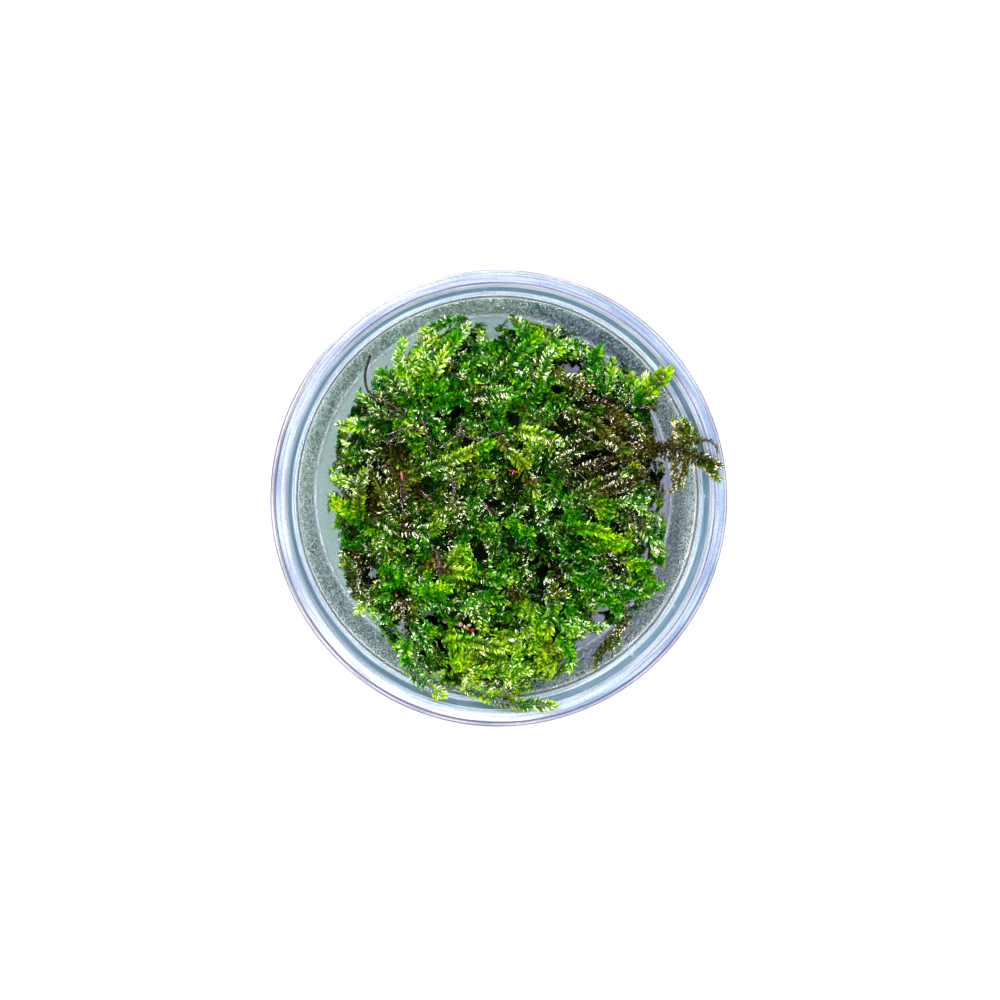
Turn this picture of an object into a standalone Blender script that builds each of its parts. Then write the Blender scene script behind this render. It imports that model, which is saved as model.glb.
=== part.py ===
"""A wad of wet leafy moss in a round clear plastic cup, in metres, +Z up.

The origin is on the surface that the cup stands on, under the middle of its foot.
"""
import math
import random

import bmesh
import bpy
from mathutils import Matrix, Vector
from mathutils.bvhtree import BVHTree

MM = 0.001
UP = Vector((0.0, 0.0, 1.0))

# Cup, millimetres
RIM_RADIUS = 50.0
CUP_HEIGHT = 45.0
CROWN_INNER = 47.1
CROWN_OUTER = 49.1
SKIRT_DEPTH = 3.4
WALL = 0.9
NECK_TOP_RADIUS = 46.5
NECK_FOOT_RADIUS = 46.2
NECK_FOOT_HEIGHT = 34.0
LEDGE_RADIUS = 44.9
LEDGE_HEIGHT = 33.2
FLOOR_RADIUS = 40.2
FLOOR_TOP = 2.0
FLOOR_THICKNESS = 1.0
FOOT_OUTER = 40.6
FOOT_INNER = 38.2
CUP_STEPS = 44

# Moss, millimetres
GAP = 0.3
MAT_TOP = 39.0
MAT_FLOOR_SHARE = 0.80
MAT_WIDEST_CLIMB = 2.4
TOP_FLATNESS = 0.62
SIDE_FULLNESS = 0.36
RIM_FULLNESS = 0.2
OUTLINE_INSET = 1.3
WALL_CLEARANCE = 1.5
RIM_LEAN = 4.5
RIM_LEAN_ANGLE = math.radians(-82.0)
HEART_AROUND = 28
HEART_RINGS = 12
SIDE_SHOOTS = 13
SIDE_SHOOT_LEAVES = 9
SIDE_SEED = 7
GOLDEN_SHARE = 0.381966
SIDE_GIRTH = 34.0
SIDE_HEIGHT = 80.0
SIDE_LIFT = 0.35
SIDE_START = 0.22
SIDE_SPREAD = 0.42
SIDE_LOWEST = 0.19
SIDE_HIGHEST = 0.74
HOLLOW_SEED = 3
FUSED_HALF_WIDTH = 1.9
FUSED_HALF_THICKNESS = 1.3
FUSED_LEAF_PITCH = 2.0
FUSED_REACH = 0.6
FUSED_RISE = 0.15
HOLLOW_RISE = 4.0
GAP_RISE = 5.0
GAP_BELOW = 4.0
SHOOT_HALF_WIDTH = 1.7
SHOOT_HALF_THICKNESS = 0.95
FROND_HALF_WIDTH = 1.6
FROND_HALF_THICKNESS = 0.8
WISP_HALF_WIDTH = 1.0
WISP_HALF_THICKNESS = 0.6
LEAF_PITCH = 1.45
STEM_RADIUS = 0.33
STEM_PITCH = 2.2
SPARE = 0.1
MAX_DROOP = 0.55
LOOK_DOWN_FROM = 90.0

# The clump's outline seen from above, anticlockwise from the right, plan x and y in millimetres
OUTLINE = [
    (37.5, 1.0), (36.5, 9.0), (36.5, 16.0), (36.0, 22.0), (32.0, 28.0), (26.0, 30.5),
    (20.0, 35.0), (13.0, 38.0), (5.0, 38.5), (-3.0, 38.0), (-10.0, 38.5), (-17.0, 35.5),
    (-23.0, 30.0), (-29.0, 25.0), (-34.0, 17.0), (-36.5, 9.0), (-37.5, 1.0), (-36.0, -8.0),
    (-34.5, -17.0), (-30.0, -25.5), (-24.5, -32.0), (-19.5, -37.5), (-12.5, -42.0), (-3.5, -44.5),
    (6.5, -45.5), (13.5, -44.0), (15.5, -37.0), (18.5, -31.5), (24.5, -29.0), (32.0, -25.5),
    (36.5, -20.5), (37.5, -10.0),
]

# Dark hollows in the top of the tangle: plan x, y, radius, depth
HOLLOWS = [
    (-9.5, 18.5, 2.6, 9.0), (-13.0, 18.0, 1.8, 7.0), (-26.0, 5.0, 2.2, 8.0), (5.8, -3.5, 2.2, 8.0),
    (-2.5, -1.5, 1.6, 7.0), (9.5, -16.5, 3.2, 9.0), (-20.0, -12.0, 2.2, 7.0), (20.5, 9.0, 2.0, 7.0),
    (-5.0, -11.5, 1.8, 6.0), (27.0, -7.0, 1.9, 7.0), (12.5, 24.5, 2.0, 7.0),
]

# Open gaps that go down to the cup's floor at the clump's edge: plan x, y, radius
GAPS = [
    (16.8, 28.5, 1.9), (22.5, -26.8, 3.0), (-15.6, -26.3, 2.4), (-27.8, -17.5, 2.2),
    (17.5, -33.5, 3.4), (-14.0, -32.5, 1.8),
]

# Leafy shoots on top of the mat, each a route of plan points from its root to its tip
SHOOTS = [
    [(-19.0, 22.5), (-21.0, 26.5), (-22.0, 30.5), (-21.0, 35.0)],
    [(-20.0, 22.0), (-22.5, 24.0), (-24.0, 27.0), (-27.0, 27.5)],
    [(-26.5, 17.5), (-30.0, 16.0), (-33.0, 16.0), (-35.5, 16.0)],
    [(-6.0, 38.5), (-9.5, 39.5), (-13.0, 38.5), (-17.5, 36.0)],
    [(-14.5, 26.0), (-13.0, 30.0), (-9.5, 34.5), (-6.5, 38.5)],
    [(7.5, 31.0), (6.5, 34.5), (5.0, 37.5), (3.0, 40.0)],
    [(-2.0, 25.0), (1.0, 28.5), (5.0, 32.5), (9.0, 36.0)],
    [(5.0, 20.0), (8.0, 22.5), (9.5, 27.5), (11.5, 33.0)],
    [(-15.0, 20.0), (-11.5, 21.5), (-6.0, 22.5), (0.5, 23.5), (3.5, 22.5)],
    [(10.5, 30.5), (13.5, 33.0), (16.5, 34.0), (19.0, 33.0), (21.0, 31.5)],
    [(22.5, 23.5), (21.0, 27.0), (21.0, 30.5), (22.5, 33.5)],
    [(29.5, 20.5), (32.0, 23.0), (34.5, 26.0), (37.0, 28.0)],
    [(-23.5, 11.0), (-27.5, 9.5), (-32.0, 9.0), (-34.5, 8.0)],
    [(-30.5, -5.5), (-31.0, -2.0), (-30.5, 2.0), (-29.5, 6.5)],
    [(-28.5, -3.0), (-25.0, -5.0), (-23.0, -6.5), (-19.0, -7.0), (-15.0, -7.0), (-12.0, -5.0)],
    [(-20.5, 4.5), (-18.0, 5.5), (-13.0, 7.5), (-6.0, 10.5), (-1.0, 12.5)],
    [(0.5, 14.0), (1.5, 11.0), (4.0, 8.5), (6.0, 5.5), (7.0, 3.5), (8.5, 0.5)],
    [(3.0, 15.0), (7.0, 14.5), (11.0, 13.5), (14.0, 12.0)],
    [(15.0, 10.0), (14.0, 6.0), (12.0, 2.0), (11.0, -2.0)],
    [(15.0, 19.0), (19.0, 17.5), (22.5, 15.0), (25.0, 12.5), (29.0, 10.0)],
    [(16.0, 0.5), (21.0, 3.0), (24.5, 4.0), (28.0, 5.5)],
    [(14.5, -7.0), (18.0, -6.5), (21.5, -7.0), (25.0, -8.5)],
    [(13.5, -14.0), (16.5, -17.0), (21.5, -19.5), (26.5, -20.5), (31.5, -21.0), (36.5, -19.5)],
    [(30.5, -4.0), (32.5, -7.5), (35.0, -10.5), (37.0, -12.5)],
    [(-29.0, -23.0), (-31.5, -21.0), (-32.5, -17.5), (-33.5, -13.5)],
    [(-13.0, -15.5), (-7.0, -16.5), (-2.5, -17.5), (2.5, -18.0)],
    [(-12.5, -32.0), (-7.5, -31.0), (-2.5, -32.0), (1.5, -33.0)],
    [(-20.0, -30.0), (-20.5, -36.0), (-16.5, -40.5), (-12.0, -43.0)],
    [(-7.5, -42.0), (-2.5, -43.5), (3.0, -44.5), (12.0, -45.0)],
    [(10.5, -20.5), (11.5, -24.0), (11.0, -27.0), (10.5, -30.5)],
]

# Shoots that are grown into the mat's top, plan points from root to tip
FUSED_SHOOTS = [
    [(-24.0, 17.5), (-27.0, 19.5), (-29.0, 21.5), (-31.0, 23.0)],
    [(-6.0, 22.0), (-9.5, 26.5), (-14.0, 26.5), (-18.5, 29.5)],
    [(2.0, 31.0), (6.0, 36.0), (10.0, 36.5), (15.0, 36.5)],
    [(-23.5, -3.5), (-25.0, -0.5), (-27.5, 2.0), (-31.0, 4.0), (-36.0, 4.5)],
    [(20.0, 20.5), (25.0, 18.5), (30.0, 15.5), (33.5, 12.0)],
    [(17.5, -0.5), (21.0, -1.5), (24.5, -1.5), (29.0, -0.5)],
    [(22.0, -12.5), (26.5, -13.5), (31.0, -15.0), (35.0, -17.0)],
    [(-24.5, -13.5), (-26.0, -17.0), (-27.5, -20.5), (-30.5, -23.5)],
    [(-20.0, -27.0), (-17.5, -30.0), (-15.0, -33.5), (-11.5, -36.5)],
    [(-12.0, -40.0), (-7.5, -38.0), (-2.5, -36.5), (4.0, -38.5), (9.0, -41.0)],
    [(-18.5, -20.0), (-13.5, -22.5), (-9.0, -23.5), (-4.5, -23.0)],
    [(17.0, -21.5), (19.5, -22.5), (25.0, -23.5), (28.5, -24.5)],
    [(-7.0, 1.5), (-6.0, -3.0), (-5.0, -7.0), (-1.0, -10.0)],
    [(-33.5, -3.5), (-34.0, -7.0), (-31.0, -11.0), (-26.0, -12.5)],
    [(2.0, 11.0), (-3.0, 7.0), (-8.5, 3.5), (-13.5, 1.0)],
    [(-3.5, -20.5), (0.5, -23.5), (3.5, -27.0), (4.5, -30.0)],
]

# Old brown fronds of the tuft over the rim, root to tip
BROWN_FRONDS = [
    [(33.0, 11.6), (36.5, 11.2), (40.0, 10.5), (43.5, 9.5), (46.0, 8.0), (48.3, 7.0)],
    [(41.6, 12.4), (41.4, 14.0), (41.0, 15.8), (40.0, 17.5)],
    [(40.5, 7.2), (40.0, 5.5), (39.3, 4.0), (38.5, 2.5)],
]
BROWN_WISPS = [
    [(29.5, -27.0), (26.0, -31.0), (23.0, -34.5), (21.5, -38.0)],
]

# Bare stems, each a route of plan points
BARE_STEMS = [
    [(-28.5, 31.5), (-29.5, 27.5), (-29.0, 24.0), (-27.0, 21.5), (-23.5, 20.5), (-20.5, 18.5)],
    [(-24.5, 14.0), (-20.5, 15.5), (-18.5, 15.5)],
    [(-17.0, 17.5), (-16.0, 15.0), (-15.5, 12.5), (-15.0, 9.5)],
    [(-21.5, 2.5), (-21.5, -0.5), (-21.0, -3.0)],
    [(-13.0, 11.0), (-9.0, 14.0), (-7.0, 13.5), (-4.5, 13.0), (-2.5, 14.0)],
    [(-15.0, -10.5), (-13.5, -12.5), (-12.8, -13.5)],
    [(31.0, 20.0), (34.0, 20.0), (37.0, 20.0)],
]

COLOURS = {
    "cup": (0.80, 0.84, 0.90, 0.05, 0.0),
    "moss_mat": (0.06, 0.17, 0.02, 0.45, 0.0),
    "shoot": (0.13, 0.38, 0.03, 0.35, 0.0),
    "shoot_yellow": (0.33, 0.55, 0.05, 0.35, 0.0),
    "brown": (0.16, 0.11, 0.03, 0.45, 0.0),
    "stem": (0.12, 0.04, 0.05, 0.4, 0.0),
}


def clear_scene():
    for thing in list(bpy.data.objects):
        bpy.data.objects.remove(thing, do_unlink=True)


def make_collection(name):
    group = bpy.data.collections.new(name)
    bpy.context.scene.collection.children.link(group)
    return group


def make_material(name):
    red, green, blue, roughness, metallic = COLOURS[name]
    material = bpy.data.materials.new(name)
    material.use_nodes = True
    shader = material.node_tree.nodes["Principled BSDF"]
    shader.inputs["Base Color"].default_value = (red, green, blue, 1.0)
    shader.inputs["Roughness"].default_value = roughness
    shader.inputs["Metallic"].default_value = metallic
    if name == "cup":
        shader.inputs["Transmission Weight"].default_value = 1.0
        shader.inputs["IOR"].default_value = 1.49
    return material


def add_object(name, data, group, material):
    thing = bpy.data.objects.new(name, data)
    group.objects.link(thing)
    data.materials.append(material)
    return thing


def evaluated_bmesh(thing):
    depsgraph = bpy.context.evaluated_depsgraph_get()
    mesh = bpy.data.meshes.new_from_object(thing.evaluated_get(depsgraph))
    work = bmesh.new()
    work.from_mesh(mesh)
    work.transform(thing.matrix_world)
    bpy.data.meshes.remove(mesh)
    return work


def bvh_of(thing):
    work = evaluated_bmesh(thing)
    tree = BVHTree.FromBMesh(work)
    work.free()
    return tree


def cup_profile():
    """Half section in millimetres, from the underside's middle, up the inside and down the outer side."""
    inner_foot = FLOOR_RADIUS + 1.3
    outer_ledge = LEDGE_RADIUS + WALL
    outer_neck = NECK_FOOT_RADIUS + WALL
    skirt_foot = CUP_HEIGHT - SKIRT_DEPTH
    return [
        (0.0, FLOOR_TOP),
        (FLOOR_RADIUS, FLOOR_TOP),
        (inner_foot, FLOOR_TOP + 1.6),
        (LEDGE_RADIUS, LEDGE_HEIGHT),
        (NECK_FOOT_RADIUS, NECK_FOOT_HEIGHT),
        (NECK_TOP_RADIUS, CUP_HEIGHT - 1.0),
        (CROWN_INNER, CUP_HEIGHT - 0.2),
        (CROWN_INNER + 0.5, CUP_HEIGHT),
        (CROWN_OUTER - 0.5, CUP_HEIGHT),
        (CROWN_OUTER + 0.2, CUP_HEIGHT - 0.5),
        (CROWN_OUTER + 0.4, skirt_foot + 0.6),
        (RIM_RADIUS, skirt_foot + 0.4),
        (RIM_RADIUS, skirt_foot),
        (CROWN_OUTER - 0.4, skirt_foot),
        (CROWN_OUTER - 0.5, CUP_HEIGHT - WALL),
        (outer_neck + 0.3, CUP_HEIGHT - WALL - 0.2),
        (outer_neck, NECK_FOOT_HEIGHT - 0.4),
        (outer_ledge, LEDGE_HEIGHT - 0.8),
        (inner_foot + WALL, FLOOR_TOP + 1.2),
        (FOOT_OUTER, 0.0),
        (FOOT_INNER, 0.0),
        (FOOT_INNER - 0.8, FLOOR_TOP - FLOOR_THICKNESS),
        (0.0, FLOOR_TOP - FLOOR_THICKNESS),
    ]


def make_cup(group):
    work = bmesh.new()
    points = [work.verts.new((radius * MM, 0.0, height * MM)) for radius, height in cup_profile()]
    for first, second in zip(points, points[1:]):
        work.edges.new((first, second))
    mesh = bpy.data.meshes.new("cup")
    work.to_mesh(mesh)
    work.free()
    cup = add_object("cup", mesh, group, make_material("cup"))
    screw = cup.modifiers.new("turn", "SCREW")
    screw.axis = "Z"
    screw.steps = CUP_STEPS
    screw.render_steps = CUP_STEPS
    screw.use_merge_vertices = True
    screw.merge_threshold = 0.00001
    screw.use_smooth_shade = True
    return cup


def outline_radius(angle):
    """Distance of the clump's outline from the middle in this direction, millimetres."""
    angle = angle % math.tau
    corners = sorted((math.atan2(y, x) % math.tau, math.hypot(x, y)) for x, y in OUTLINE)
    corners = [(corners[-1][0] - math.tau, corners[-1][1])] + corners
    corners.append((corners[1][0] + math.tau, corners[1][1]))
    for (low, near), (high, far) in zip(corners, corners[1:]):
        if low <= angle <= high:
            share = (angle - low) / (high - low)
            return near + (far - near) * share
    return corners[0][1]


def wall_radius(height):
    """Inner radius of the cup at this height, millimetres."""
    if height < LEDGE_HEIGHT:
        share = (height - FLOOR_TOP) / (LEDGE_HEIGHT - FLOOR_TOP)
        return FLOOR_RADIUS + (LEDGE_RADIUS - FLOOR_RADIUS) * share
    return NECK_FOOT_RADIUS


def mat_surface(angle, climb):
    """A point of the mat's skin in millimetres. climb runs from 0, the base's middle, to 1, the top's."""
    base = FLOOR_TOP + GAP
    tilt = (climb - 0.5) * math.pi
    share = 0.5 + 0.5 * math.copysign(abs(math.sin(tilt)) ** TOP_FLATNESS, tilt)
    height = base + (MAT_TOP - base) * share
    toward_lean = max(0.0, math.cos(angle - RIM_LEAN_ANGLE)) ** 4
    girth = abs(math.cos(tilt)) ** (SIDE_FULLNESS - RIM_FULLNESS * toward_lean * share)
    width = MAT_FLOOR_SHARE + (1.0 - MAT_FLOOR_SHARE) * min(1.0, share * MAT_WIDEST_CLIMB)
    height += RIM_LEAN * toward_lean * share * girth ** 2
    reach = min(outline_radius(angle) - OUTLINE_INSET + toward_lean, wall_radius(height) - WALL_CLEARANCE)
    radius = reach * width * girth
    return Vector((radius * math.cos(angle), radius * math.sin(angle), height))


def mat_normal(angle, climb):
    """Outward direction of the mat's skin there."""
    small = 0.004
    around = mat_surface(angle + small * 3, climb) - mat_surface(angle - small * 3, climb)
    upward = mat_surface(angle, climb + small) - mat_surface(angle, climb - small)
    return around.cross(upward).normalized()


def add_heart(work):
    """The felted heart of the mat, a round body that follows the outline."""
    made = bmesh.ops.create_uvsphere(work, u_segments=HEART_AROUND, v_segments=HEART_RINGS, radius=1.0)
    for vert in made["verts"]:
        angle = math.atan2(vert.co.y, vert.co.x)
        climb = 0.5 + math.asin(max(-1.0, min(1.0, vert.co.z))) / math.pi
        vert.co = mat_surface(angle, climb) * MM
    for vert in made["verts"]:
        vert.co.z = max(vert.co.z, (FLOOR_TOP + GAP) * MM)


def side_routes():
    """Shoots all round the mat's sides, one seeded walk for each: points and outward directions."""
    draw = random.Random(SIDE_SEED)
    routes = []
    for index in range(SIDE_SHOOTS):
        angle = math.tau * (index * GOLDEN_SHARE % 1.0)
        climb = SIDE_START + SIDE_SPREAD * (index + 0.5) / SIDE_SHOOTS
        heading = draw.uniform(0.15, 0.85) * math.pi
        if index % 2:
            heading = -heading * 0.4
        points = []
        outward = []
        for _ in range(SIDE_SHOOT_LEAVES):
            normal = mat_normal(angle, climb)
            points.append(mat_surface(angle, climb) + normal * SIDE_LIFT)
            outward.append(normal)
            heading += draw.uniform(-0.3, 0.3)
            angle += FUSED_LEAF_PITCH * math.cos(heading) / SIDE_GIRTH
            climb += FUSED_LEAF_PITCH * math.sin(heading) / SIDE_HEIGHT
            climb = min(max(climb, SIDE_LOWEST), SIDE_HIGHEST)
        routes.append((points, outward))
    return routes


def add_blade(work, route, outward, half_width, half_thickness):
    """A leafy shoot: a low four-sided blade whose edges step out at each leaf, left and right in turn."""
    rings = []
    count = len(route)
    for index, point in enumerate(route):
        along = (route[min(index + 1, count - 1)] - route[max(index - 1, 0)]).normalized()
        side = outward[index].cross(along).normalized()
        lift = along.cross(side)
        taper = min(1.0, 0.45 + 0.3 * index, 0.35 + 0.28 * (count - 1 - index))
        left = half_width * taper * (1.0 if index % 2 else 0.48)
        right = half_width * taper * (0.48 if index % 2 else 1.0)
        lean = along * half_width * 0.35
        corners = (
            point + side * left + lean * (index % 2),
            point + lift * half_thickness * taper,
            point - side * right + lean * (1 - index % 2),
            point - lift * half_thickness * taper,
        )
        rings.append([work.verts.new(corner * MM) for corner in corners])
    faces = [work.faces.new(rings[0]), work.faces.new(list(reversed(rings[-1])))]
    for first, second in zip(rings, rings[1:]):
        for step in range(4):
            after = (step + 1) % 4
            faces.append(work.faces.new((first[step], second[step], second[after], first[after])))
    bmesh.ops.recalc_face_normals(work, faces=faces)
    bmesh.ops.triangulate(work, faces=faces)


def as_mesh(name, work):
    mesh = bpy.data.meshes.new(name)
    work.to_mesh(mesh)
    work.free()
    return mesh


def add_guide(name, mesh, group):
    """A shape that is fused into a piece or cut out of it, and isn't a piece itself."""
    guide = bpy.data.objects.new(name, mesh)
    group.objects.link(guide)
    guide.hide_render = True
    guide.display_type = "WIRE"
    return guide


def add_cutter(name, group, x, y, radius, low, high, draw):
    """A leaning, stretched six-sided cone, wider at the top, for an irregular hole."""
    work = bmesh.new()
    place = Matrix.Translation((x * MM, y * MM, high * MM))
    place @= Matrix.Rotation(draw.uniform(0.0, math.tau), 4, "Z")
    place @= Matrix.Rotation(draw.uniform(0.05, 0.22), 4, "X")
    place @= Matrix.Diagonal((1.35, 0.85, 1.0, 1.0))
    place @= Matrix.Translation((0.0, 0.0, (low - high) / 2 * MM))
    bmesh.ops.create_cone(
        work, cap_ends=True, segments=6, radius1=radius * 0.6 * MM, radius2=radius * 1.3 * MM,
        depth=(high - low) * MM, matrix=place,
    )
    add_guide(name, as_mesh(name, work), group)


def keep_largest_body(work):
    """Delete what a cut has left loose, and keep the one big body."""
    left = set(work.faces)
    bodies = []
    while left:
        first = left.pop()
        body = [first]
        front = [first]
        while front:
            for edge in front.pop().edges:
                for other in edge.link_faces:
                    if other in left:
                        left.discard(other)
                        body.append(other)
                        front.append(other)
        bodies.append(body)
    bodies.sort(key=len)
    loose = [face for body in bodies[:-1] for face in body]
    bmesh.ops.delete(work, geom=loose, context="FACES")


def make_mat(group, fused, hollows):
    """One body of the felted shoots: the heart with shoots fused to it, then the hollows and gaps cut.

    The many crossing blades leave open edges with the exact solver, so this uses the manifold one.
    """
    heart = bmesh.new()
    add_heart(heart)
    mat = add_object("moss_mat", as_mesh("moss_heart", heart), group, make_material("moss_mat"))
    ground = [bvh_of(mat)]
    number = 0
    for points in FUSED_SHOOTS:
        plan = smooth_route(points, FUSED_LEAF_PITCH)
        route = settle(plan, ground, FUSED_REACH, FUSED_RISE)
        number += 1
        work = bmesh.new()
        add_blade(work, route, [UP] * len(route), FUSED_HALF_WIDTH, FUSED_HALF_THICKNESS)
        add_guide(f"fused_{number}", as_mesh(f"fused_{number}", work), fused)
    for route, outward in side_routes():
        number += 1
        work = bmesh.new()
        add_blade(work, route, outward, FUSED_HALF_WIDTH, FUSED_HALF_THICKNESS)
        add_guide(f"fused_{number}", as_mesh(f"fused_{number}", work), fused)
    draw = random.Random(HOLLOW_SEED)
    for number, (x, y, radius, depth) in enumerate(HOLLOWS, 1):
        add_cutter(f"hollow_{number}", hollows, x, y, radius, MAT_TOP - depth, MAT_TOP + HOLLOW_RISE, draw)
    for number, (x, y, radius) in enumerate(GAPS, 1):
        add_cutter(f"gap_{number}", hollows, x, y, radius, -GAP_BELOW, MAT_TOP + GAP_RISE, draw)
    for name, operation, guides in (("fuse", "UNION", fused), ("hollow_out", "DIFFERENCE", hollows)):
        join = mat.modifiers.new(name, "BOOLEAN")
        join.operation = operation
        join.operand_type = "COLLECTION"
        join.collection = guides
        join.solver = "MANIFOLD"
    work = evaluated_bmesh(mat)
    mat.modifiers.clear()
    keep_largest_body(work)
    bmesh.ops.triangulate(work, faces=work.faces)
    work.to_mesh(mat.data)
    work.free()
    return mat


def smooth_route(points, spacing):
    """Points about one spacing apart along a smooth curve through the plan points, in millimetres."""
    control = [Vector((x, y)) for x, y in points]
    control = [control[0] * 2 - control[1]] + control + [control[-1] * 2 - control[-2]]
    dense = []
    for index in range(1, len(control) - 2):
        before, start, end, after = control[index - 1:index + 3]
        for step in range(24):
            t = step / 24
            dense.append(0.5 * (
                2 * start + (end - before) * t
                + (2 * before - 5 * start + 4 * end - after) * t ** 2
                + (3 * start - before - 3 * end + after) * t ** 3
            ))
    dense.append(control[-2])
    total = sum((b - a).length for a, b in zip(dense, dense[1:]))
    count = max(3, round(total / spacing))
    route = [dense[0]]
    walked = 0.0
    for first, second in zip(dense, dense[1:]):
        walked += (second - first).length
        if walked >= total * len(route) / count - 1e-6:
            route.append(second)
    return route


def ground_height(grounds, x, y, reach):
    """Highest solid under a disc of this radius, millimetres, or None over nothing."""
    best = None
    for ring, share in ((1, 0.0), (6, 0.55), (10, 1.0)):
        for step in range(ring):
            turn = math.tau * step / ring
            aside = Vector((math.cos(turn), math.sin(turn), 0.0)) * reach * share
            start = (Vector((x, y, LOOK_DOWN_FROM)) + aside) * MM
            for tree in grounds:
                hit = tree.ray_cast(start, -UP)
                if hit[0] is not None and (best is None or hit[0].z / MM > best):
                    best = hit[0].z / MM
    return best


def settle(route, grounds, reach, rise):
    """Lay a plan route on the solids below it: it bridges dips and its free ends droop gently."""
    floor = []
    for point in route:
        height = ground_height(grounds, point.x, point.y, reach)
        floor.append((height if height is not None else 0.0) + rise)
    heights = list(floor)
    for index in range(1, len(route)):
        drop = (route[index] - route[index - 1]).length * MAX_DROOP
        heights[index] = max(heights[index], heights[index - 1] - drop)
    for index in range(len(route) - 2, -1, -1):
        drop = (route[index] - route[index + 1]).length * MAX_DROOP
        heights[index] = max(heights[index], heights[index + 1] - drop)
    for _ in range(3):
        eased = list(heights)
        for index in range(1, len(route) - 1):
            mean = (heights[index - 1] + heights[index + 1]) / 2
            eased[index] = max(floor[index], heights[index] * 0.5 + mean * 0.5)
        heights = eased
    return [Vector((point.x, point.y, height)) for point, height in zip(route, heights)]


def make_shoot(name, group, material, points, grounds, half_width, half_thickness):
    """A free shoot in a piece of its own, laid on what is below it."""
    plan = smooth_route(points, LEAF_PITCH)
    route = settle(plan, grounds, half_width + GAP, half_thickness + GAP + SPARE)
    work = bmesh.new()
    add_blade(work, route, [UP] * len(route), half_width, half_thickness)
    return add_object(name, as_mesh(name, work), group, material)


def make_stem(name, group, material, points, grounds):
    """A bare stem: a thin round curve laid over the shoots."""
    plan = smooth_route(points, STEM_PITCH)
    route = settle(plan, grounds, STEM_RADIUS + GAP, STEM_RADIUS + GAP + SPARE)
    curve = bpy.data.curves.new(name, "CURVE")
    curve.dimensions = "3D"
    curve.bevel_depth = STEM_RADIUS * MM
    curve.bevel_resolution = 1
    curve.use_fill_caps = True
    spline = curve.splines.new("POLY")
    spline.points.add(len(route) - 1)
    for knot, point in zip(spline.points, route):
        knot.co = (point.x * MM, point.y * MM, point.z * MM, 1.0)
    return add_object(name, curve, group, material)


def main():
    clear_scene()
    group = make_collection("moss_clump")
    fused = make_collection("fused_shoots")
    hollows = make_collection("cutters")
    cup = make_cup(group)
    mat = make_mat(group, fused, hollows)
    grounds = [bvh_of(cup), bvh_of(mat)]

    green = make_material("shoot")
    yellow = make_material("shoot_yellow")
    brown = make_material("brown")
    bark = make_material("stem")
    for number, points in enumerate(SHOOTS, 1):
        material = yellow if number % 3 == 0 else green
        shoot = make_shoot(
            f"shoot_{number:02d}", group, material, points, grounds, SHOOT_HALF_WIDTH, SHOOT_HALF_THICKNESS)
        grounds.append(bvh_of(shoot))
    for number, points in enumerate(BROWN_FRONDS, 1):
        frond = make_shoot(
            f"brown_frond_{number}", group, brown, points, grounds, FROND_HALF_WIDTH, FROND_HALF_THICKNESS)
        grounds.append(bvh_of(frond))
    for number, points in enumerate(BROWN_WISPS, 1):
        wisp = make_shoot(
            f"brown_wisp_{number}", group, brown, points, grounds, WISP_HALF_WIDTH, WISP_HALF_THICKNESS)
        grounds.append(bvh_of(wisp))
    for number, points in enumerate(BARE_STEMS, 1):
        stem = make_stem(f"bare_stem_{number}", group, bark, points, grounds)
        grounds.append(bvh_of(stem))


main()
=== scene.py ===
import math
import random

import bmesh
import bpy
import numpy as np
from mathutils import Matrix, Vector
from mathutils.bvhtree import BVHTree


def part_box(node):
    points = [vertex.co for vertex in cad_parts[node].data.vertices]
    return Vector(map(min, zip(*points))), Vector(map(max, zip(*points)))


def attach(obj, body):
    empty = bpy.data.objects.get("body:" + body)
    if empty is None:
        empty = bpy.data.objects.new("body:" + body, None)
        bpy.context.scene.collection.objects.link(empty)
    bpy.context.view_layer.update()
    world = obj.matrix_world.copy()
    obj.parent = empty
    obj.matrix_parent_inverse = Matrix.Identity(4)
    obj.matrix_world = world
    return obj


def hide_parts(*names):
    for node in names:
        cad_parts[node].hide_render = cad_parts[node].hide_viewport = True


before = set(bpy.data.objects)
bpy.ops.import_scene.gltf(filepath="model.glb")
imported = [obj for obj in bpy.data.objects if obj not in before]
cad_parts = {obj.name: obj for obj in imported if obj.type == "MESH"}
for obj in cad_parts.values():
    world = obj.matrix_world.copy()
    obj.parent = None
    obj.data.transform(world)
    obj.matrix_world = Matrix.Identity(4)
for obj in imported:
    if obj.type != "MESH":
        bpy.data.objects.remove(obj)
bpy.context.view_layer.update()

# A wad of wet moss in a clear cup. Lengths in this file are millimetres; meshes are written in metres.
mm = 0.001
up = Vector((0, 0, 1))


# Shader maths: a socket that takes part in sums, and one method for any other node
class Value:
    def __init__(self, finish, socket):
        self.finish = finish
        self.socket = socket

    def join(self, operation, first, second, clamp=False):
        settings = {"operation": operation, "use_clamp": clamp}
        return self.finish.node("Math", settings, {0: first, 1: second})

    def clamp(self):
        return self.join("ADD", self, 0, clamp=True)


def addOperator(name, operation):
    setattr(Value, f"__{name}__", lambda value, other: value.join(operation, value, other))
    setattr(Value, f"__r{name}__", lambda value, other: value.join(operation, other, value))


operators = {"add": "ADD", "sub": "SUBTRACT", "mul": "MULTIPLY", "truediv": "DIVIDE", "pow": "POWER"}
for operatorName, operation in operators.items():
    addOperator(operatorName, operation)


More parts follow.
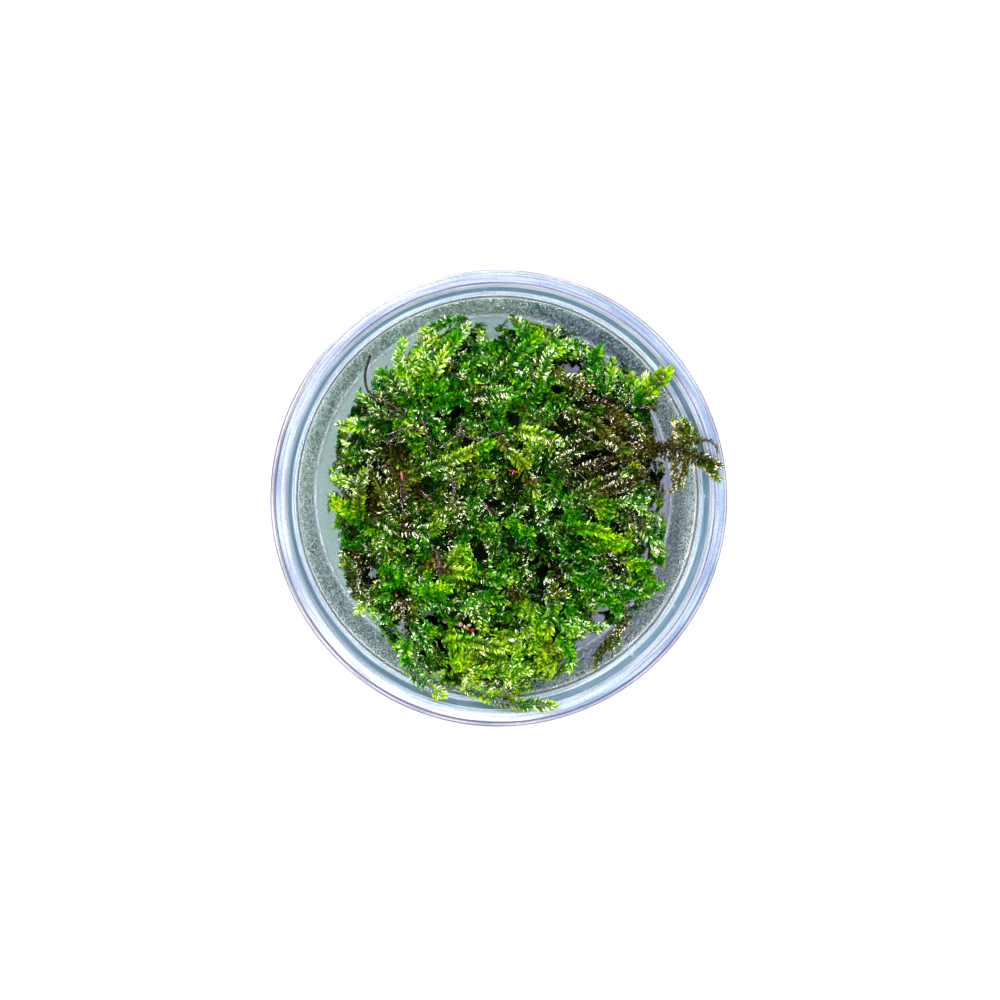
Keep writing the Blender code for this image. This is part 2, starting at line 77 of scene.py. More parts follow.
class Finish:
    def __init__(self, name, settings):
        self.material = bpy.data.materials.new(name)
        self.material.use_nodes = True
        self.tree = self.material.node_tree
        self.tree.nodes.clear()
        self.output = self.add("OutputMaterial")
        self.shader = self.surface(settings)
        self.link(self.shader.outputs[0], self.output.inputs["Surface"])

    def add(self, kind):
        return self.tree.nodes.new("ShaderNode" + kind)

    def link(self, source, target):
        self.tree.links.new(source, target)

    def surface(self, settings):
        shader = self.add("BsdfPrincipled")
        for name, value in settings.items():
            shader.inputs[name].default_value = value
        return shader

    def put(self, value, socket):
        if isinstance(value, Value):
            self.link(value.socket, socket)
        else:
            socket.default_value = value

    def node(self, kind, settings, inputs, output=0):
        made = self.add(kind)
        for name, value in settings.items():
            if name == "stops":
                self.setStops(made.color_ramp, value)
            else:
                setattr(made, name, value)
        for name, value in inputs.items():
            self.put(value, made.inputs[name])
        return Value(self, made.outputs[output])

    def setStops(self, ramp, stops):
        while len(ramp.elements) < len(stops):
            ramp.elements.new(1)
        for element, (place, colour) in zip(ramp.elements, stops):
            element.position = place
            element.color = (*colour, 1)

    def place(self):
        return self.node("TexCoord", {}, {}, "Object")

    def axes(self, vector):
        return [self.node("SeparateXYZ", {}, {0: vector}, axis) for axis in ("X", "Y", "Z")]

    def noise(self, size, detail=3, rough=0.5, place=None):
        settings = {"Scale": 1 / (size * mm), "Detail": detail, "Roughness": rough}
        return self.node("TexNoise", {}, {"Vector": place or self.place(), **settings}, "Fac")

    def ramp(self, value, stops):
        return self.node("ValToRGB", {"stops": stops}, {0: value})

    def step(self, value, low, high, first=0, last=1):
        ends = {0: value, 1: low, 2: high, 3: first, 4: last}
        return self.node("MapRange", {"interpolation_type": "SMOOTHSTEP"}, ends)

    def band(self, value, low, high, soft):
        return self.step(value, low - soft, low + soft) * self.step(value, high - soft, high + soft, 1, 0)

    def mix(self, share, first, second, blend="MIX"):
        def full(colour):
            return colour if isinstance(colour, Value) else (*colour, 1)
        settings = {"data_type": "RGBA", "blend_type": blend}
        return self.node("Mix", settings, {0: share, 6: full(first), 7: full(second)}, 2)

    def times(self, first, second):
        return self.mix(1, first, second, "MULTIPLY")

    def bump(self, height, distance, strength=1):
        settings = {"Height": height, "Distance": distance * mm, "Strength": strength}
        return self.node("Bump", {}, settings)

    def blendShaders(self, share, first, second):
        mixer = self.add("MixShader")
        self.put(share, mixer.inputs[0])
        self.link(first.outputs[0], mixer.inputs[1])
        self.link(second.outputs[0], mixer.inputs[2])
        self.link(mixer.outputs[0], self.output.inputs["Surface"])
        return mixer

    def letLightThrough(self, shader, colour):
        clear = self.add("BsdfTransparent")
        clear.inputs[0].default_value = (*colour, 1)
        self.blendShaders(self.node("LightPath", {}, {}, "Is Shadow Ray"), shader, clear)

    def use(self, shader=None, **links):
        names = {"colour": "Base Color", "roughness": "Roughness", "coat": "Coat Weight", "normal": "Normal"}
        for name, value in links.items():
            self.put(value, (shader or self.shader).inputs[names[name]])
        return self.material


def smooth(obj):
    obj.data.shade_smooth()
    return obj


def newObject(name, data, *materials):
    obj = bpy.data.objects.new(name, data)
    bpy.context.scene.collection.objects.link(obj)
    for material in materials:
        data.materials.append(material)
    return obj


def meshOf(name, work):
    mesh = bpy.data.meshes.new(name)
    work.to_mesh(mesh)
    work.free()
    return mesh


def bakedMesh(obj):
    return bpy.data.meshes.new_from_object(obj.evaluated_get(bpy.context.evaluated_depsgraph_get()))


# Corners and faces of a small working mesh, which is then freed
def shapeOf(work):
    points = np.array([vert.co[:] for vert in work.verts])
    faces = [[vert.index for vert in face.verts] for face in work.faces]
    work.free()
    return points, faces


def rowsOf(vectors):
    return np.array([tuple(vector) for vector in vectors])


def finishPiece(obj, slotName, *nodes):
    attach(obj, "root")
    if nodes:
        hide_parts(*nodes)


def mergedWork(mesh):
    work = bmesh.new()
    work.from_mesh(mesh)
    bmesh.ops.remove_doubles(work, verts=work.verts, dist=0.00001)
    return work


# A tree for finding places on a mesh, in millimetres
def treeOf(mesh):
    work = mergedWork(mesh)
    work.transform(Matrix.Scale(1 / mm, 4))
    tree = BVHTree.FromBMesh(work)
    work.free()
    return tree


cup = {
    "height": 45, "rim": 50.1, "crownIn": 47.1, "crownOut": 49.1, "skirt": 3.4, "wall": 0.9,
    "neckTop": 46.5, "neckFoot": 45.75, "neckFootHeight": 34, "ledge": 44.75, "ledgeHeight": 33.2,
    "floor": 40.7, "floorTop": 2, "floorThick": 1, "footOut": 40.6, "footIn": 38.2, "steps": 192,
}


def arc(middle, radius, start, end, count):
    points = []
    for step in range(count + 1):
        turn = math.radians(start + (end - start) * step / count)
        points.append((middle[0] + radius * math.cos(turn), middle[1] + radius * math.sin(turn)))
    return points


def cupSection():
    top, crownIn, crownOut, rim = cup["height"], cup["crownIn"], cup["crownOut"], cup["rim"]
    neckTop, neck, neckHeight = cup["neckTop"], cup["neckFoot"], cup["neckFootHeight"]
    ledge, ledgeHeight, wall = cup["ledge"], cup["ledgeHeight"], cup["wall"]
    floor, floorTop, footOut, footIn = cup["floor"], cup["floorTop"], cup["footOut"], cup["footIn"]
    under = floorTop - cup["floorThick"]
    skirtFoot = top - cup["skirt"]
    innerFoot = floor + 1.3
    points = [(0, floorTop), (floor * 0.5, floorTop), (floor - 0.4, floorTop)]
    points += arc((floor - 0.4, floorTop + 1.7), 1.7, -90, -7, 6)
    points += [(ledge - 0.25, ledgeHeight - 1.4), (ledge, ledgeHeight - 0.3)]
    points += arc((ledge + 0.55, ledgeHeight - 0.35), 0.5, 175, 100, 3)
    points += [(neck - 0.35, neckHeight - 0.15)]
    points += arc((neck - 0.35, neckHeight + 0.25), 0.4, -80, 0, 3)
    points += [(neckTop - 0.08, top - 2)]
    points += arc((crownIn + 0.55, top - 0.9), 0.9, 170, 100, 5)
    points += [(crownIn + 0.95, top), (crownOut - 0.7, top)]
    points += arc((crownOut - 0.45, top - 0.7), 0.7, 80, 5, 5)
    points += [(crownOut + 0.35, skirtFoot + 0.8), (crownOut + 0.5, skirtFoot + 0.5)]
    points += arc((rim - 0.25, skirtFoot + 0.25), 0.25, 80, -80, 5)
    points += [(crownOut - 0.3, skirtFoot), (crownOut - 0.45, skirtFoot + 0.2)]
    points += [(crownOut - 0.55, top - 1.3), (crownOut - 0.8, top - 0.9)]
    points += [(neckTop + 1.4, top - 0.95), (neckTop + 1.1, top - 1.5)]
    points += [(neck + wall, neckHeight - 0.2), (neck + wall - 0.3, neckHeight - 0.8)]
    points += [(ledge + wall, ledgeHeight - 1.1), (innerFoot + wall, floorTop + 1.4)]
    points += arc((innerFoot - 0.7, floorTop - 0.2), 1.6, 20, -50, 4)
    points += [(footOut - 0.2, 0), (footIn + 0.3, 0), (footIn, 0.15), (footIn - 0.8, under), (0, under)]
    return points


def spin(points, steps):
    work = bmesh.new()
    verts = [work.verts.new((x * mm, 0, z * mm)) for x, z in points]
    edges = [work.edges.new(pair) for pair in zip(verts, verts[1:])]
    bmesh.ops.spin(
        work, geom=verts + edges, axis=(0, 0, 1), cent=(0, 0, 0), steps=steps, angle=math.tau, use_merge=True)
    bmesh.ops.remove_doubles(work, verts=work.verts, dist=0.000001)
    bmesh.ops.recalc_face_normals(work, faces=work.faces)
    return work


# Bands seen round the cup, painted reflections, highlights and shade in the clear plastic: from and to in
# height, the same in radius, soft edge, painted colour, and how much of the clear plastic it hides where it
# is seen straight on and where it is seen at a low angle. A band can keep to one side of the cup, and can
# turn to a second colour on a side, where the painted light changes. The first band is the misted wall, with
# painted lit and shaded sides.
cupBands = [
    ((3.4, 30.6), (40.5, 46.2), 0.25, (0.4, 0.5, 0.5), (0.16, 1), {}),
    ((34, 41.6), (45.4, 46.5), 0.12, (0.22, 0.36, 0.56), (0.12, 1), {}),
    ((39.8, 42.8), (45.4, 46.6), 0.15, (0.46, 0.6, 0.82), (0.12, 1), {"side": "left"}),
    ((33.3, 34.2), (44.8, 45.9), 0.1, (0.36, 0.45, 0.54), (0.92, 0.3), {}),
    # painted shade in the ledge's inner corner, and a painted highlight line over it
    ((31.6, 33.3), (44.15, 44.85), 0.15, (0.1, 0.13, 0.18), (0.85, 1), {}),
    ((29.3, 31.6), (43.8, 44.8), 0.2, (1, 1, 1), (0.4, 1), {}),
    # the crown: painted highlight lines, reflections and dark lines that change round the cup
    ((42.2, 45.1), (46.3, 46.92), 0.08, (0.62, 0.74, 0.92), (0.7, 1), {}),
    ((43.6, 45.1), (46.9, 47.5), 0.08, (0.46, 0.54, 0.72), (0.8, 0.9), {}),
    ((44, 45.1), (46.95, 47.35), 0.07, (0.18, 0.16, 0.24), (1, 1), {"side": "inner"}),
    (
        (44.2, 45.5), (47.4, 48.75), 0.12, (0.28, 0.33, 0.45), (0.88, 0.5),
        {"second": ("front", (0.48, 0.48, 0.53))},
    ),
    ((43.6, 45.5), (47.4, 49.8), 0.2, (0.23, 0.29, 0.42), (0.5, 0.5), {"side": "right"}),
    ((44, 45.1), (48.66, 49.06), 0.06, (0.07, 0.09, 0.17), (0.9, 0.6), {"side": "near"}),
    ((41.3, 44.2), (49.1, 50.8), 0.08, (0.25, 0.27, 0.4), (0.8, 0.4), {"second": ("far", (0.44, 0.44, 0.5))}),
    ((41.3, 42.8), (49.45, 49.72), 0.06, (0.6, 0.48, 0.4), (0.85, 0.5), {"side": "cream"}),
    ((41.3, 42.8), (49.84, 50.8), 0.05, (0.15, 0.15, 0.26), (0.85, 0.5), {"side": "edge"}),
    # the cup's floor: painted shade under the moss, lavender on the right; a painted highlight on its edge
    # ring
    ((0.5, 2.7), (-1, 41.4), 0.2, (0.26, 0.34, 0.3), (0.88, 0.3), {"second": ("right", (0.29, 0.27, 0.37))}),
    ((2.6, 3.7), (41.4, 42.3), 0.15, (0.95, 0.98, 1), (0.95, 0.95), {}),
]
# Sides of the cup, over which the painted reflections and shade change: weights of x and y, from where to
# where a side begins, and the share before and after
sideFades = {
    "far": (0.5, 1, -15, 20, 0, 1), "near": (0.5, 1, -15, 20, 1, 0), "edge": (-0.3, 1, 36, 48, 1, 0.3),
    "front": (0, -1, 12, 42, 0, 1), "cream": (0.7, 1, -10, 15, 1, 0), "left": (-1, 0, 10, 40, 0, 1),
    "right": (1, 0, -5, 20, 0, 1), "inner": (1, 1, -25, 5, 0, 1), "corner": (0.62, 1, 45, 49, 0, 1),
}

# Specks of condensation on the wall, dark drops with painted highlights; the wall's painted lit and shaded
# sides, shaded towards the back, and a painted darker reflection of the moss in one corner; painted highlight
# stripes near the rim, a fine grain, and the faint tint outside the bands
wallMistAndLight = {
    "size": 0.52, "squash": 0.34, "speck": (0.41, 0.57), "dark": (0.09, 0.19, 0.19), "light": (1, 1, 1),
    "litPatchSize": 11, "litShare": (0.28, 0.6), "lean": 6.5, "shaded": (0.24, 0.61, 0.3), "lit": (0.74, 0.95, 1),
    "corner": (0.35, 0.6, 0.85), "lightShare": 0.4,
}
highlightStreaks = {
    "size": 1000, "around": 4, "across": 2.6, "edge": (0.36, 0.64), "from": (26, 32),
    "dark": (0.76, 0.79, 0.86), "light": (1.42, 1.36, 1.24),
}
fineGrain = {"size": 0.5, "edge": (0.3, 0.7), "dark": (0.8, 0.82, 0.88), "light": (1.16, 1.14, 1.08)}
restHaze = {"share": 0.02, "colour": (0.5, 0.56, 0.7)}
plasticTint = {"clear": (0.92, 0.95, 1), "misted": (0.86, 0.92, 0.92), "shadow": (0.86, 0.9, 0.93)}


def clearPlastic():
    f = Finish("clearPlastic", {"IOR": 1.49, "Transmission Weight": 1, "Roughness": 0.02})
    place = f.place()
    x, y, z = f.axes(place)
    radius = (x * x + y * y) ** 0.5 * (1 / mm)
    height = z * (1 / mm)
    squash = (1, 1, wallMistAndLight["squash"])
    tall = f.node("VectorMath", {"operation": "MULTIPLY"}, {0: place, 1: squash})
    speck = f.step(f.noise(wallMistAndLight["size"], 2, 0.7, tall), *wallMistAndLight["speck"])
    # painted light: the wall's lit share, less towards the back
    litShare = f.step(f.noise(wallMistAndLight["litPatchSize"]) - y * wallMistAndLight["lean"], *wallMistAndLight["litShare"])
    # painted highlight stripes that run round the cup
    around = [axis * (highlightStreaks["around"] / mm) / radius for axis in (x, y)]
    across = radius * highlightStreaks["across"] + height
    ringPlace = f.node("CombineXYZ", {}, {0: around[0], 1: around[1], 2: across})
    highlightStreak = f.step(f.noise(highlightStreaks["size"], 2, 0.6, ringPlace), *highlightStreaks["edge"])
    fine = f.step(f.noise(fineGrain["size"], 3, 0.7), *fineGrain["edge"])
    low = f.step(f.node("LayerWeight", {}, {"Blend": 0.5}, "Facing"), 0.4, 0.8)
    sides = {}
    for name, (wide, deep, start, end, *shares) in sideFades.items():
        sides[name] = f.step(x * wide + y * deep, start * mm, end * mm, *shares)
    share, haze = restHaze["share"], restHaze["colour"]
    for index, (heights, radii, soft, colour, (straight, grazing), sideways) in enumerate(cupBands):
        zone = f.band(height, *heights, soft) * f.band(radius, *radii, soft)
        if index == 0:
            wall = zone
            # the misted wall: painted lit and shaded colours, with dark specks and painted highlights
            colour = f.mix(litShare, wallMistAndLight["shaded"], wallMistAndLight["lit"])
            dark = f.times(colour, wallMistAndLight["dark"])
            colour = f.mix(speck, dark, f.mix(wallMistAndLight["lightShare"], colour, wallMistAndLight["light"]))
            # painted darker reflection of the moss in one corner of the wall
            colour = f.times(colour, f.mix(sides["corner"], (1, 1, 1), wallMistAndLight["corner"]))
        # a second colour paints the reflection or shade on one side
        if "second" in sideways:
            side, second = sideways["second"]
            colour = f.mix(sides[side], colour, second)
        if "side" in sideways:
            zone = zone * sides[sideways["side"]]
        share = share + zone * (low * (grazing - straight) + straight)
        haze = f.mix(zone, haze, colour)
    haze = f.times(haze, f.mix(fine, fineGrain["dark"], fineGrain["light"]))
    # painted highlight stripes over the bands near the rim
    streaked = f.mix(highlightStreak, highlightStreaks["dark"], highlightStreaks["light"])
    haze = f.mix(f.step(height, *highlightStreaks["from"]), haze, streaked, "MULTIPLY")
    bump = f.bump(f.noise(0.45, 2, 0.6) * wall, 0.2, 0.6)
    tint = f.mix(wall, plasticTint["clear"], plasticTint["misted"])
    f.use(colour=tint, roughness=0.02 + wall * speck * 0.1, normal=bump)
    # the layer that shows the condensation and the painted reflections, highlights and shade
    mistAndLightLayer = f.surface({"Roughness": 0.35, "IOR": 1.49, "Specular IOR Level": 0.12})
    f.use(mistAndLightLayer, colour=haze, normal=bump)
    f.letLightThrough(f.blendShaders(share.clamp(), f.shader, mistAndLightLayer), plasticTint["shadow"])
    return f.material


cupMesh = meshOf("cup", spin(cupSection(), cup["steps"]))
cupPiece = smooth(newObject("clearCup", cupMesh, clearPlastic()))
finishPiece(cupPiece, "clear_plastic", "cup")
print("cup: the clear cup is turned")


# Condensation: small domes of water on the inside of the wall, and a few large drops
dew = {
    "count": 9000, "small": (0.12, 0.32), "kinds": (1, 1, 1.4), "seed": 5, "rise": 0.5, "sunk": 0.6,
    "tall": (0.9, 1.15), "lean": -0.11, "foot": 41.1, "lowest": 4, "underLedge": 0.8, "onWall": 28,
    "overNeckFoot": 5,
}
largeDrops = [
    (-3.1, 45.6, 0.75), (45.6, 0.4, 0.6), (39.6, -24.6, 0.6), (31.3, -36.6, 0.7), (-42.4, -9.2, 0.65),
]


# Inner radius of the cup: tapered up to the ledge, then the neck
def wallRadius(height, foot, top, ledgeHeight):
    share = (height - cup["floorTop"]) / (cup["ledgeHeight"] - cup["floorTop"])
    return np.where(height < ledgeHeight, foot + (top - foot) * share, cup["neckFoot"])


def waterFinish():
    f = Finish("dewWater", {"Roughness": 0, "IOR": 1.33, "Transmission Weight": 1})
    f.use(colour=f.mix(f.noise(1), (0.96, 0.98, 1), (1, 1, 1)))
    f.letLightThrough(f.shader, (0.97, 0.98, 1))
    return f.material


# One mesh of many copies of a small shape; points holds the corners of each copy
def repeatedMesh(name, points, faces):
    count, corners = points.shape[:2]
    corner = np.concatenate([np.array(face) for face in faces])
    loops = (corner[None] + np.arange(count)[:, None] * corners).ravel()
    totals = np.tile([len(face) for face in faces], count)
    starts = np.concatenate([[0], np.cumsum(totals)[:-1]])
    mesh = bpy.data.meshes.new(name)
    mesh.vertices.add(count * corners)
    mesh.vertices.foreach_set("co", (points * mm).astype(np.float32).ravel())
    mesh.loops.add(len(loops))
    mesh.loops.foreach_set("vertex_index", loops.astype(np.int32))
    mesh.polygons.add(len(totals))
    mesh.polygons.foreach_set("loop_start", starts.astype(np.int32))
    mesh.update(calc_edges=True)
    return mesh


def growDew():
    draw = np.random.default_rng(dew["seed"])
    height = draw.uniform(dew["lowest"], cup["ledgeHeight"] - dew["underLedge"], dew["count"])
    turn = draw.uniform(0, math.tau, dew["count"])
    size = draw.uniform(*dew["small"], dew["count"]) * draw.choice(dew["kinds"], dew["count"])
    for x, y, radius in largeDrops:
        onNeck = math.hypot(x, y) > cup["ledge"] + 0.25
        height = np.append(height, cup["neckFootHeight"] + dew["overNeckFoot"] if onNeck else dew["onWall"])
        turn = np.append(turn, math.atan2(y, x))
        size = np.append(size, radius)
    out = np.stack([np.cos(turn), np.sin(turn), np.full(len(turn), dew["lean"])], axis=1)
    side = np.stack([-np.sin(turn), np.cos(turn), np.zeros(len(turn))], axis=1)
    top = np.cross(out, side)
    wall = wallRadius(height, dew["foot"], cup["ledge"] - 0.1, cup["ledgeHeight"])
    reach = wall - size * dew["rise"] * dew["sunk"]
    centre = np.stack([np.cos(turn) * reach, np.sin(turn) * reach, height], axis=1)
    work = bmesh.new()
    bmesh.ops.create_icosphere(work, subdivisions=1, radius=1)
    ball, faces = shapeOf(work)
    stretch = np.stack([size * dew["rise"], size, size * draw.uniform(*dew["tall"], len(size))], axis=1)
    shape = ball[None] * stretch[:, None, :]
    points = np.einsum("nij,nkj->nki", np.stack([out, side, top], axis=2), shape) + centre[:, None, :]
    mesh = repeatedMesh("cupDew", points, faces)
    mesh.validate()
    finishPiece(smooth(newObject("cupDew", mesh, waterFinish())), "clear_plastic")


growDew()
print("dew: condensation set on the wall")


# One leaf, pointed and folded along its middle, one millimetre long and wide, growing along +Y, face up
def leafTemplate():
    work = bmesh.new()
    bmesh.ops.create_grid(work, x_segments=2, y_segments=3, size=0.5)
    share = {0: 0, 1: 1, 2: 0.82, 3: 0}
    for vert in work.verts:
        row = round((vert.co.y + 0.5) * 3)
        along = (0, 0.32, 0.7, 1)[row]
        vert.co = Vector((vert.co.x * share[row], along, abs(vert.co.x) * share[row]))
    bmesh.ops.remove_doubles(work, verts=work.verts, dist=0.001)
    bmesh.ops.recalc_face_normals(work, faces=work.faces)
    work.verts.ensure_lookup_table()
    faceDown = sum(face.normal.z for face in work.faces) < 0
    points, faces = shapeOf(work)
    return points, [face[::-1] for face in faces] if faceDown else faces


leafPoints, leafFaces = leafTemplate()

# How leaves stand on a shoot: the lengths over which they shrink towards its tip and root and turn young
# near its tip, the spread of their angles in degrees, how far off the stem they start, and their variety
growth = {
    "place": (0.1, 0.9), "ahead": 0.5, "tip": 2.4, "root": 5, "young": 5, "off": 0.12, "droop": (0, 0.3),
    "rowSpread": 9, "angleSpread": 10, "faceSpread": 0.3, "size": (0.82, 1.15), "width": (0.85, 1.15),
    "fold": (0.2, 0.95), "ragged": (0.4, 1.15), "rootSize": 0.6, "tipSize": 0.62, "tipAngle": 0.35,
    "face": (0.9, 0.25, 0.35),
}
tintSpread = {"fresh": 0.17, "old": 0.08, "shade": 0.25}
youngTint = {"fresh": 0.25, "old": 0.4}


class Foliage:
    def __init__(self, seed, under=(), thin=None):
        self.draw = np.random.default_rng(seed)
        self.under = under
        self.thin = thin
        self.roots, self.turns, self.sizes, self.tints = [], [], [], []
        self.stems = []

    def addShoot(self, points, ups, look):
        points, ups = rowsOf(points), rowsOf(ups)
        gaps = np.linalg.norm(np.diff(points, axis=0), axis=1)
        reach = np.concatenate([[0], np.cumsum(gaps)])
        total = reach[-1]
        count = max(4, int(total / look["pitch"]))
        at = (np.arange(count) + self.draw.uniform(*growth["place"], count)) * total / count

        def along(values, where):
            return np.stack([np.interp(where, reach, values[:, axis]) for axis in range(3)], axis=1)

        root = along(points, at)
        ahead = along(points, np.minimum(at + growth["ahead"], total))
        behind = along(points, np.maximum(at - growth["ahead"], 0))
        forward = unit(ahead - behind)
        lift = along(ups, at)
        lift = unit(lift - forward * (lift * forward).sum(1, keepdims=True))
        side = np.cross(forward, lift)
        rows = np.array(look["rows"])
        turn = rows[np.arange(count) % len(rows)] + self.draw.normal(0, growth["rowSpread"], count)
        turn = np.radians(turn)[:, None]
        outward = side * np.sin(turn) + lift * np.cos(turn)
        left = total - at
        tip = np.clip(left / growth["tip"], 0, 1)
        start = np.clip(growth["rootSize"] + at / growth["root"], 0, 1)
        angle = look["spread"] * (growth["tipAngle"] + (1 - growth["tipAngle"]) * tip)
        spread = np.radians(angle + self.draw.normal(0, growth["angleSpread"], count))[:, None]
        leafward = unit(forward * np.cos(spread) + outward * np.sin(spread))
        jitter = self.draw.normal(0, growth["faceSpread"], (count, 3))
        raised, turned, back = growth["face"]
        face = lift * raised + outward * turned - forward * back + jitter
        face = unit(face - leafward * (face * leafward).sum(1, keepdims=True))
        across = np.cross(leafward, face)
        size = (growth["tipSize"] + (1 - growth["tipSize"]) * tip) * start
        size = size * self.draw.uniform(*growth["size"], count)
        length = look["length"] * size
        width = look["width"] * size * self.draw.uniform(*growth["width"], count)
        fold = width * self.draw.uniform(*growth["fold"], count)
        self.roots.append(root + outward * growth["off"])
        self.turns.append(np.stack([across, leafward, face], axis=2))
        self.sizes.append(np.stack([width, length, fold], axis=1))
        young = np.clip(1 - left / growth["young"], 0, 1)
        self.tints.append(self.tintOf(root, young, look, count))
        self.stems.append((points, look["stem"]))

    def lay(self, route, look):
        self.addShoot(route, [up] * len(route), look)

    # True for what would hide an opening or lies in a thin patch of the layer, with a ragged edge
    def hides(self, centres, ragged):
        count = len(centres)
        share = self.draw.uniform(*growth["ragged"], count) if ragged else np.ones(count)
        hidden = coveredBy(centres, self.under, share)
        if self.thin is not None:
            hidden |= patches(centres, *thinPatches) > self.thin + share
        return hidden

    def openStems(self):
        runs = []
        for points, radius in self.stems:
            run = []
            for point, hidden in zip(points, self.hides(points, False)):
                if not hidden:
                    run.append(point)
                elif run:
                    runs.append((run, radius))
                    run = []
            runs.append((run, radius))
        return [(np.array(run), radius) for run, radius in runs if len(run) > 2]

    def tintOf(self, root, young, look, count):
        brown, yellow, dark = zonesAt(root)
        values = {
            "fresh": look["fresh"] + youngTint["fresh"] * young + yellow,
            "old": look["old"] + brown * (1 - youngTint["old"] * young),
            # the dark zones and patches take painted shade off the leaf's shade
            "shade": look["shade"] - dark,
        }
        tints = [value + self.draw.normal(0, tintSpread[name], count) for name, value in values.items()]
        return np.clip(np.stack(tints, axis=1), 0, 1)

    def build(self, name, materials):
        root, turn = np.concatenate(self.roots), np.concatenate(self.turns)
        size, tint = np.concatenate(self.sizes), np.concatenate(self.tints)
        shape = leafPoints[None] * size[:, None, :]
        droop = self.draw.uniform(*growth["droop"], (len(root), 1))
        shape[:, :, 2] -= (leafPoints[None, :, 1] ** 2) * size[:, None, 1] * droop
        verts = np.einsum("nij,nkj->nki", turn, shape) + root[:, None, :]
        keep = insideCup(verts)
        keep &= ~self.hides(verts.mean(axis=1), True)
        verts, tint = verts[keep], tint[keep]
        count = len(verts)
        mesh = repeatedMesh(name, verts, leafFaces)
        layer = mesh.color_attributes.new("leafTint", "FLOAT_COLOR", "POINT")
        colours = np.ones((count, len(leafPoints), 4), np.float32)
        colours[:, :, :3] = tint[:, None, :]
        colours[:, :, 3] = leafPoints[None, :, 1]
        layer.data.foreach_set("color", colours.ravel())
        mesh.validate()
        obj = smooth(newObject(name, mesh, *materials))
        stems = stemObject(name + "Stems", self.openStems(), materials[1])
        with bpy.context.temp_override(active_object=obj, selected_editable_objects=[obj, stems]):
            bpy.ops.object.join()
        print("moss:", name, count, "leaves")
        return obj


# Openings are x, y, height, radius and how far above the height is still free; wide ones have a wavy edge
wavyHole = {"from": 1.3, "oval": 0.22, "threefold": 0.18}


def coveredBy(centres, openings, share):
    hidden = np.zeros(len(centres), bool)
    for x, y, height, radius, free in openings:
        across, along = centres[:, 0] - x, centres[:, 1] - y
        far = np.hypot(across, along)
        if radius > wavyHole["from"]:
            turn = np.arctan2(along, across)
            oval, threefold = np.sin(2 * turn + x), np.sin(3 * turn + 1.7 * y)
            far = far * (1 + wavyHole["oval"] * oval + wavyHole["threefold"] * threefold)
        hidden |= (far < radius * share) & (centres[:, 2] > height + free)
    return hidden


# Smooth irregular patches over the plan, as a sum of waves; the spread of the values is 1
def patches(places, size, seed):
    draw = np.random.default_rng(seed)
    count = 14
    turn = draw.uniform(0, math.tau, count)
    pace = math.tau / (size * draw.uniform(0.7, 1.4, count))
    waves = (places[:, :1] * np.cos(turn) + places[:, 1:2] * np.sin(turn)) * pace
    return np.sin(waves + draw.uniform(0, math.tau, count)).sum(axis=1) / math.sqrt(count / 2)


def unit(rows):
    return rows / np.maximum(np.linalg.norm(rows, axis=1, keepdims=True), 1e-9)


# Room for leaves: radius at the foot of the wall, the radius that is free over the rim, and air to keep
room = {"foot": 41, "over": 60, "air": 0.1}


def insideCup(verts):
    radius = np.hypot(verts[:, :, 0], verts[:, :, 1])
    height = verts[:, :, 2]
    wall = wallRadius(height, room["foot"], cup["ledge"], cup["ledgeHeight"] + 0.3)
    wall = np.where(height > cup["height"], room["over"], wall)
    return ((radius < wall - room["air"]) & (height > cup["floorTop"] + room["air"])).all(axis=1)


stemTaper = 0.55  # how much of its width a stem loses up to its tip


def stemObject(name, stems, material):
    curve = bpy.data.curves.new(name, "CURVE")
    curve.dimensions = "3D"
    curve.bevel_depth = mm
    curve.bevel_resolution = 0
    curve.use_fill_caps = True
    for points, radius in stems:
        thin = points[::2] if len(points) > 8 else points
        spline = curve.splines.new("POLY")
        spline.points.add(len(thin) - 1)
        for index, (knot, point) in enumerate(zip(spline.points, thin)):
            knot.co = (*(point * mm), 1)
            knot.radius = radius * (1 - stemTaper * index / len(thin))
    holder = newObject(name + "Curve", curve)
    mesh = bakedMesh(holder)
    bpy.data.objects.remove(holder)
    mesh.materials.clear()
    obj = newObject(name, mesh, None, material)
    mesh.polygons.foreach_set("material_index", np.ones(len(mesh.polygons), np.int32))
    return smooth(obj)


# Where the moss is old and brown, fresh and yellow, or darkened with painted shade, round the hollows and in
# other
# places: plan x, y, radius, strength
zones = {
    "brown": [
        (24, 12, 10, 0.85), (33, 9, 8, 0.9), (22, 4.5, 7, 0.7), (-24, 4, 9, 0.8), (-31, -18, 6, 0.8),
        (-24, 20, 4, 0.5), (-21, -24, 4, 0.6), (-6, 5.5, 5, 0.5), (19, 20, 5, 0.55), (-13, -14, 3.5, 0.5),
        (10, -20, 5, 0.3), (-3, -33, 4, 0.3), (-12, 2, 7, 0.45), (-7, -3, 5, 0.4), (-21, -3, 6, 0.55),
        (3, 4, 6, 0.55), (15, 8, 6, 0.5), (-14, -3, 6, 0.5),
    ],
    "yellow": [
        (-2, -39, 13, 0.35), (10, -38, 9, 0.35), (-34, 14, 5, 0.35), (6, 13, 5, 0.45), (33.5, 26, 4, 0.5),
        (-17, 31, 7, 0.25), (12, 30, 6, 0.2), (-12, -16, 6, 0.3), (27, -10, 6, 0.3), (-33, 0, 4, 0.35),
        (-10, 8, 6, 0.3),
    ],
    "dark": [
        (-9.5, 18.5, 3, 0.5), (-26, 5, 3, 0.3), (5.8, -3.5, 3.5, 0.4), (9.5, -16.5, 6, 0.5),
        (24, 9, 9, 0.25), (3.5, 5, 4, 0.5), (14, 14, 4, 0.4), (-12, -1, 5, 0.25), (28, -17, 6, 0.35),
        (-36, 0, 4, 0.4),
    ],
}
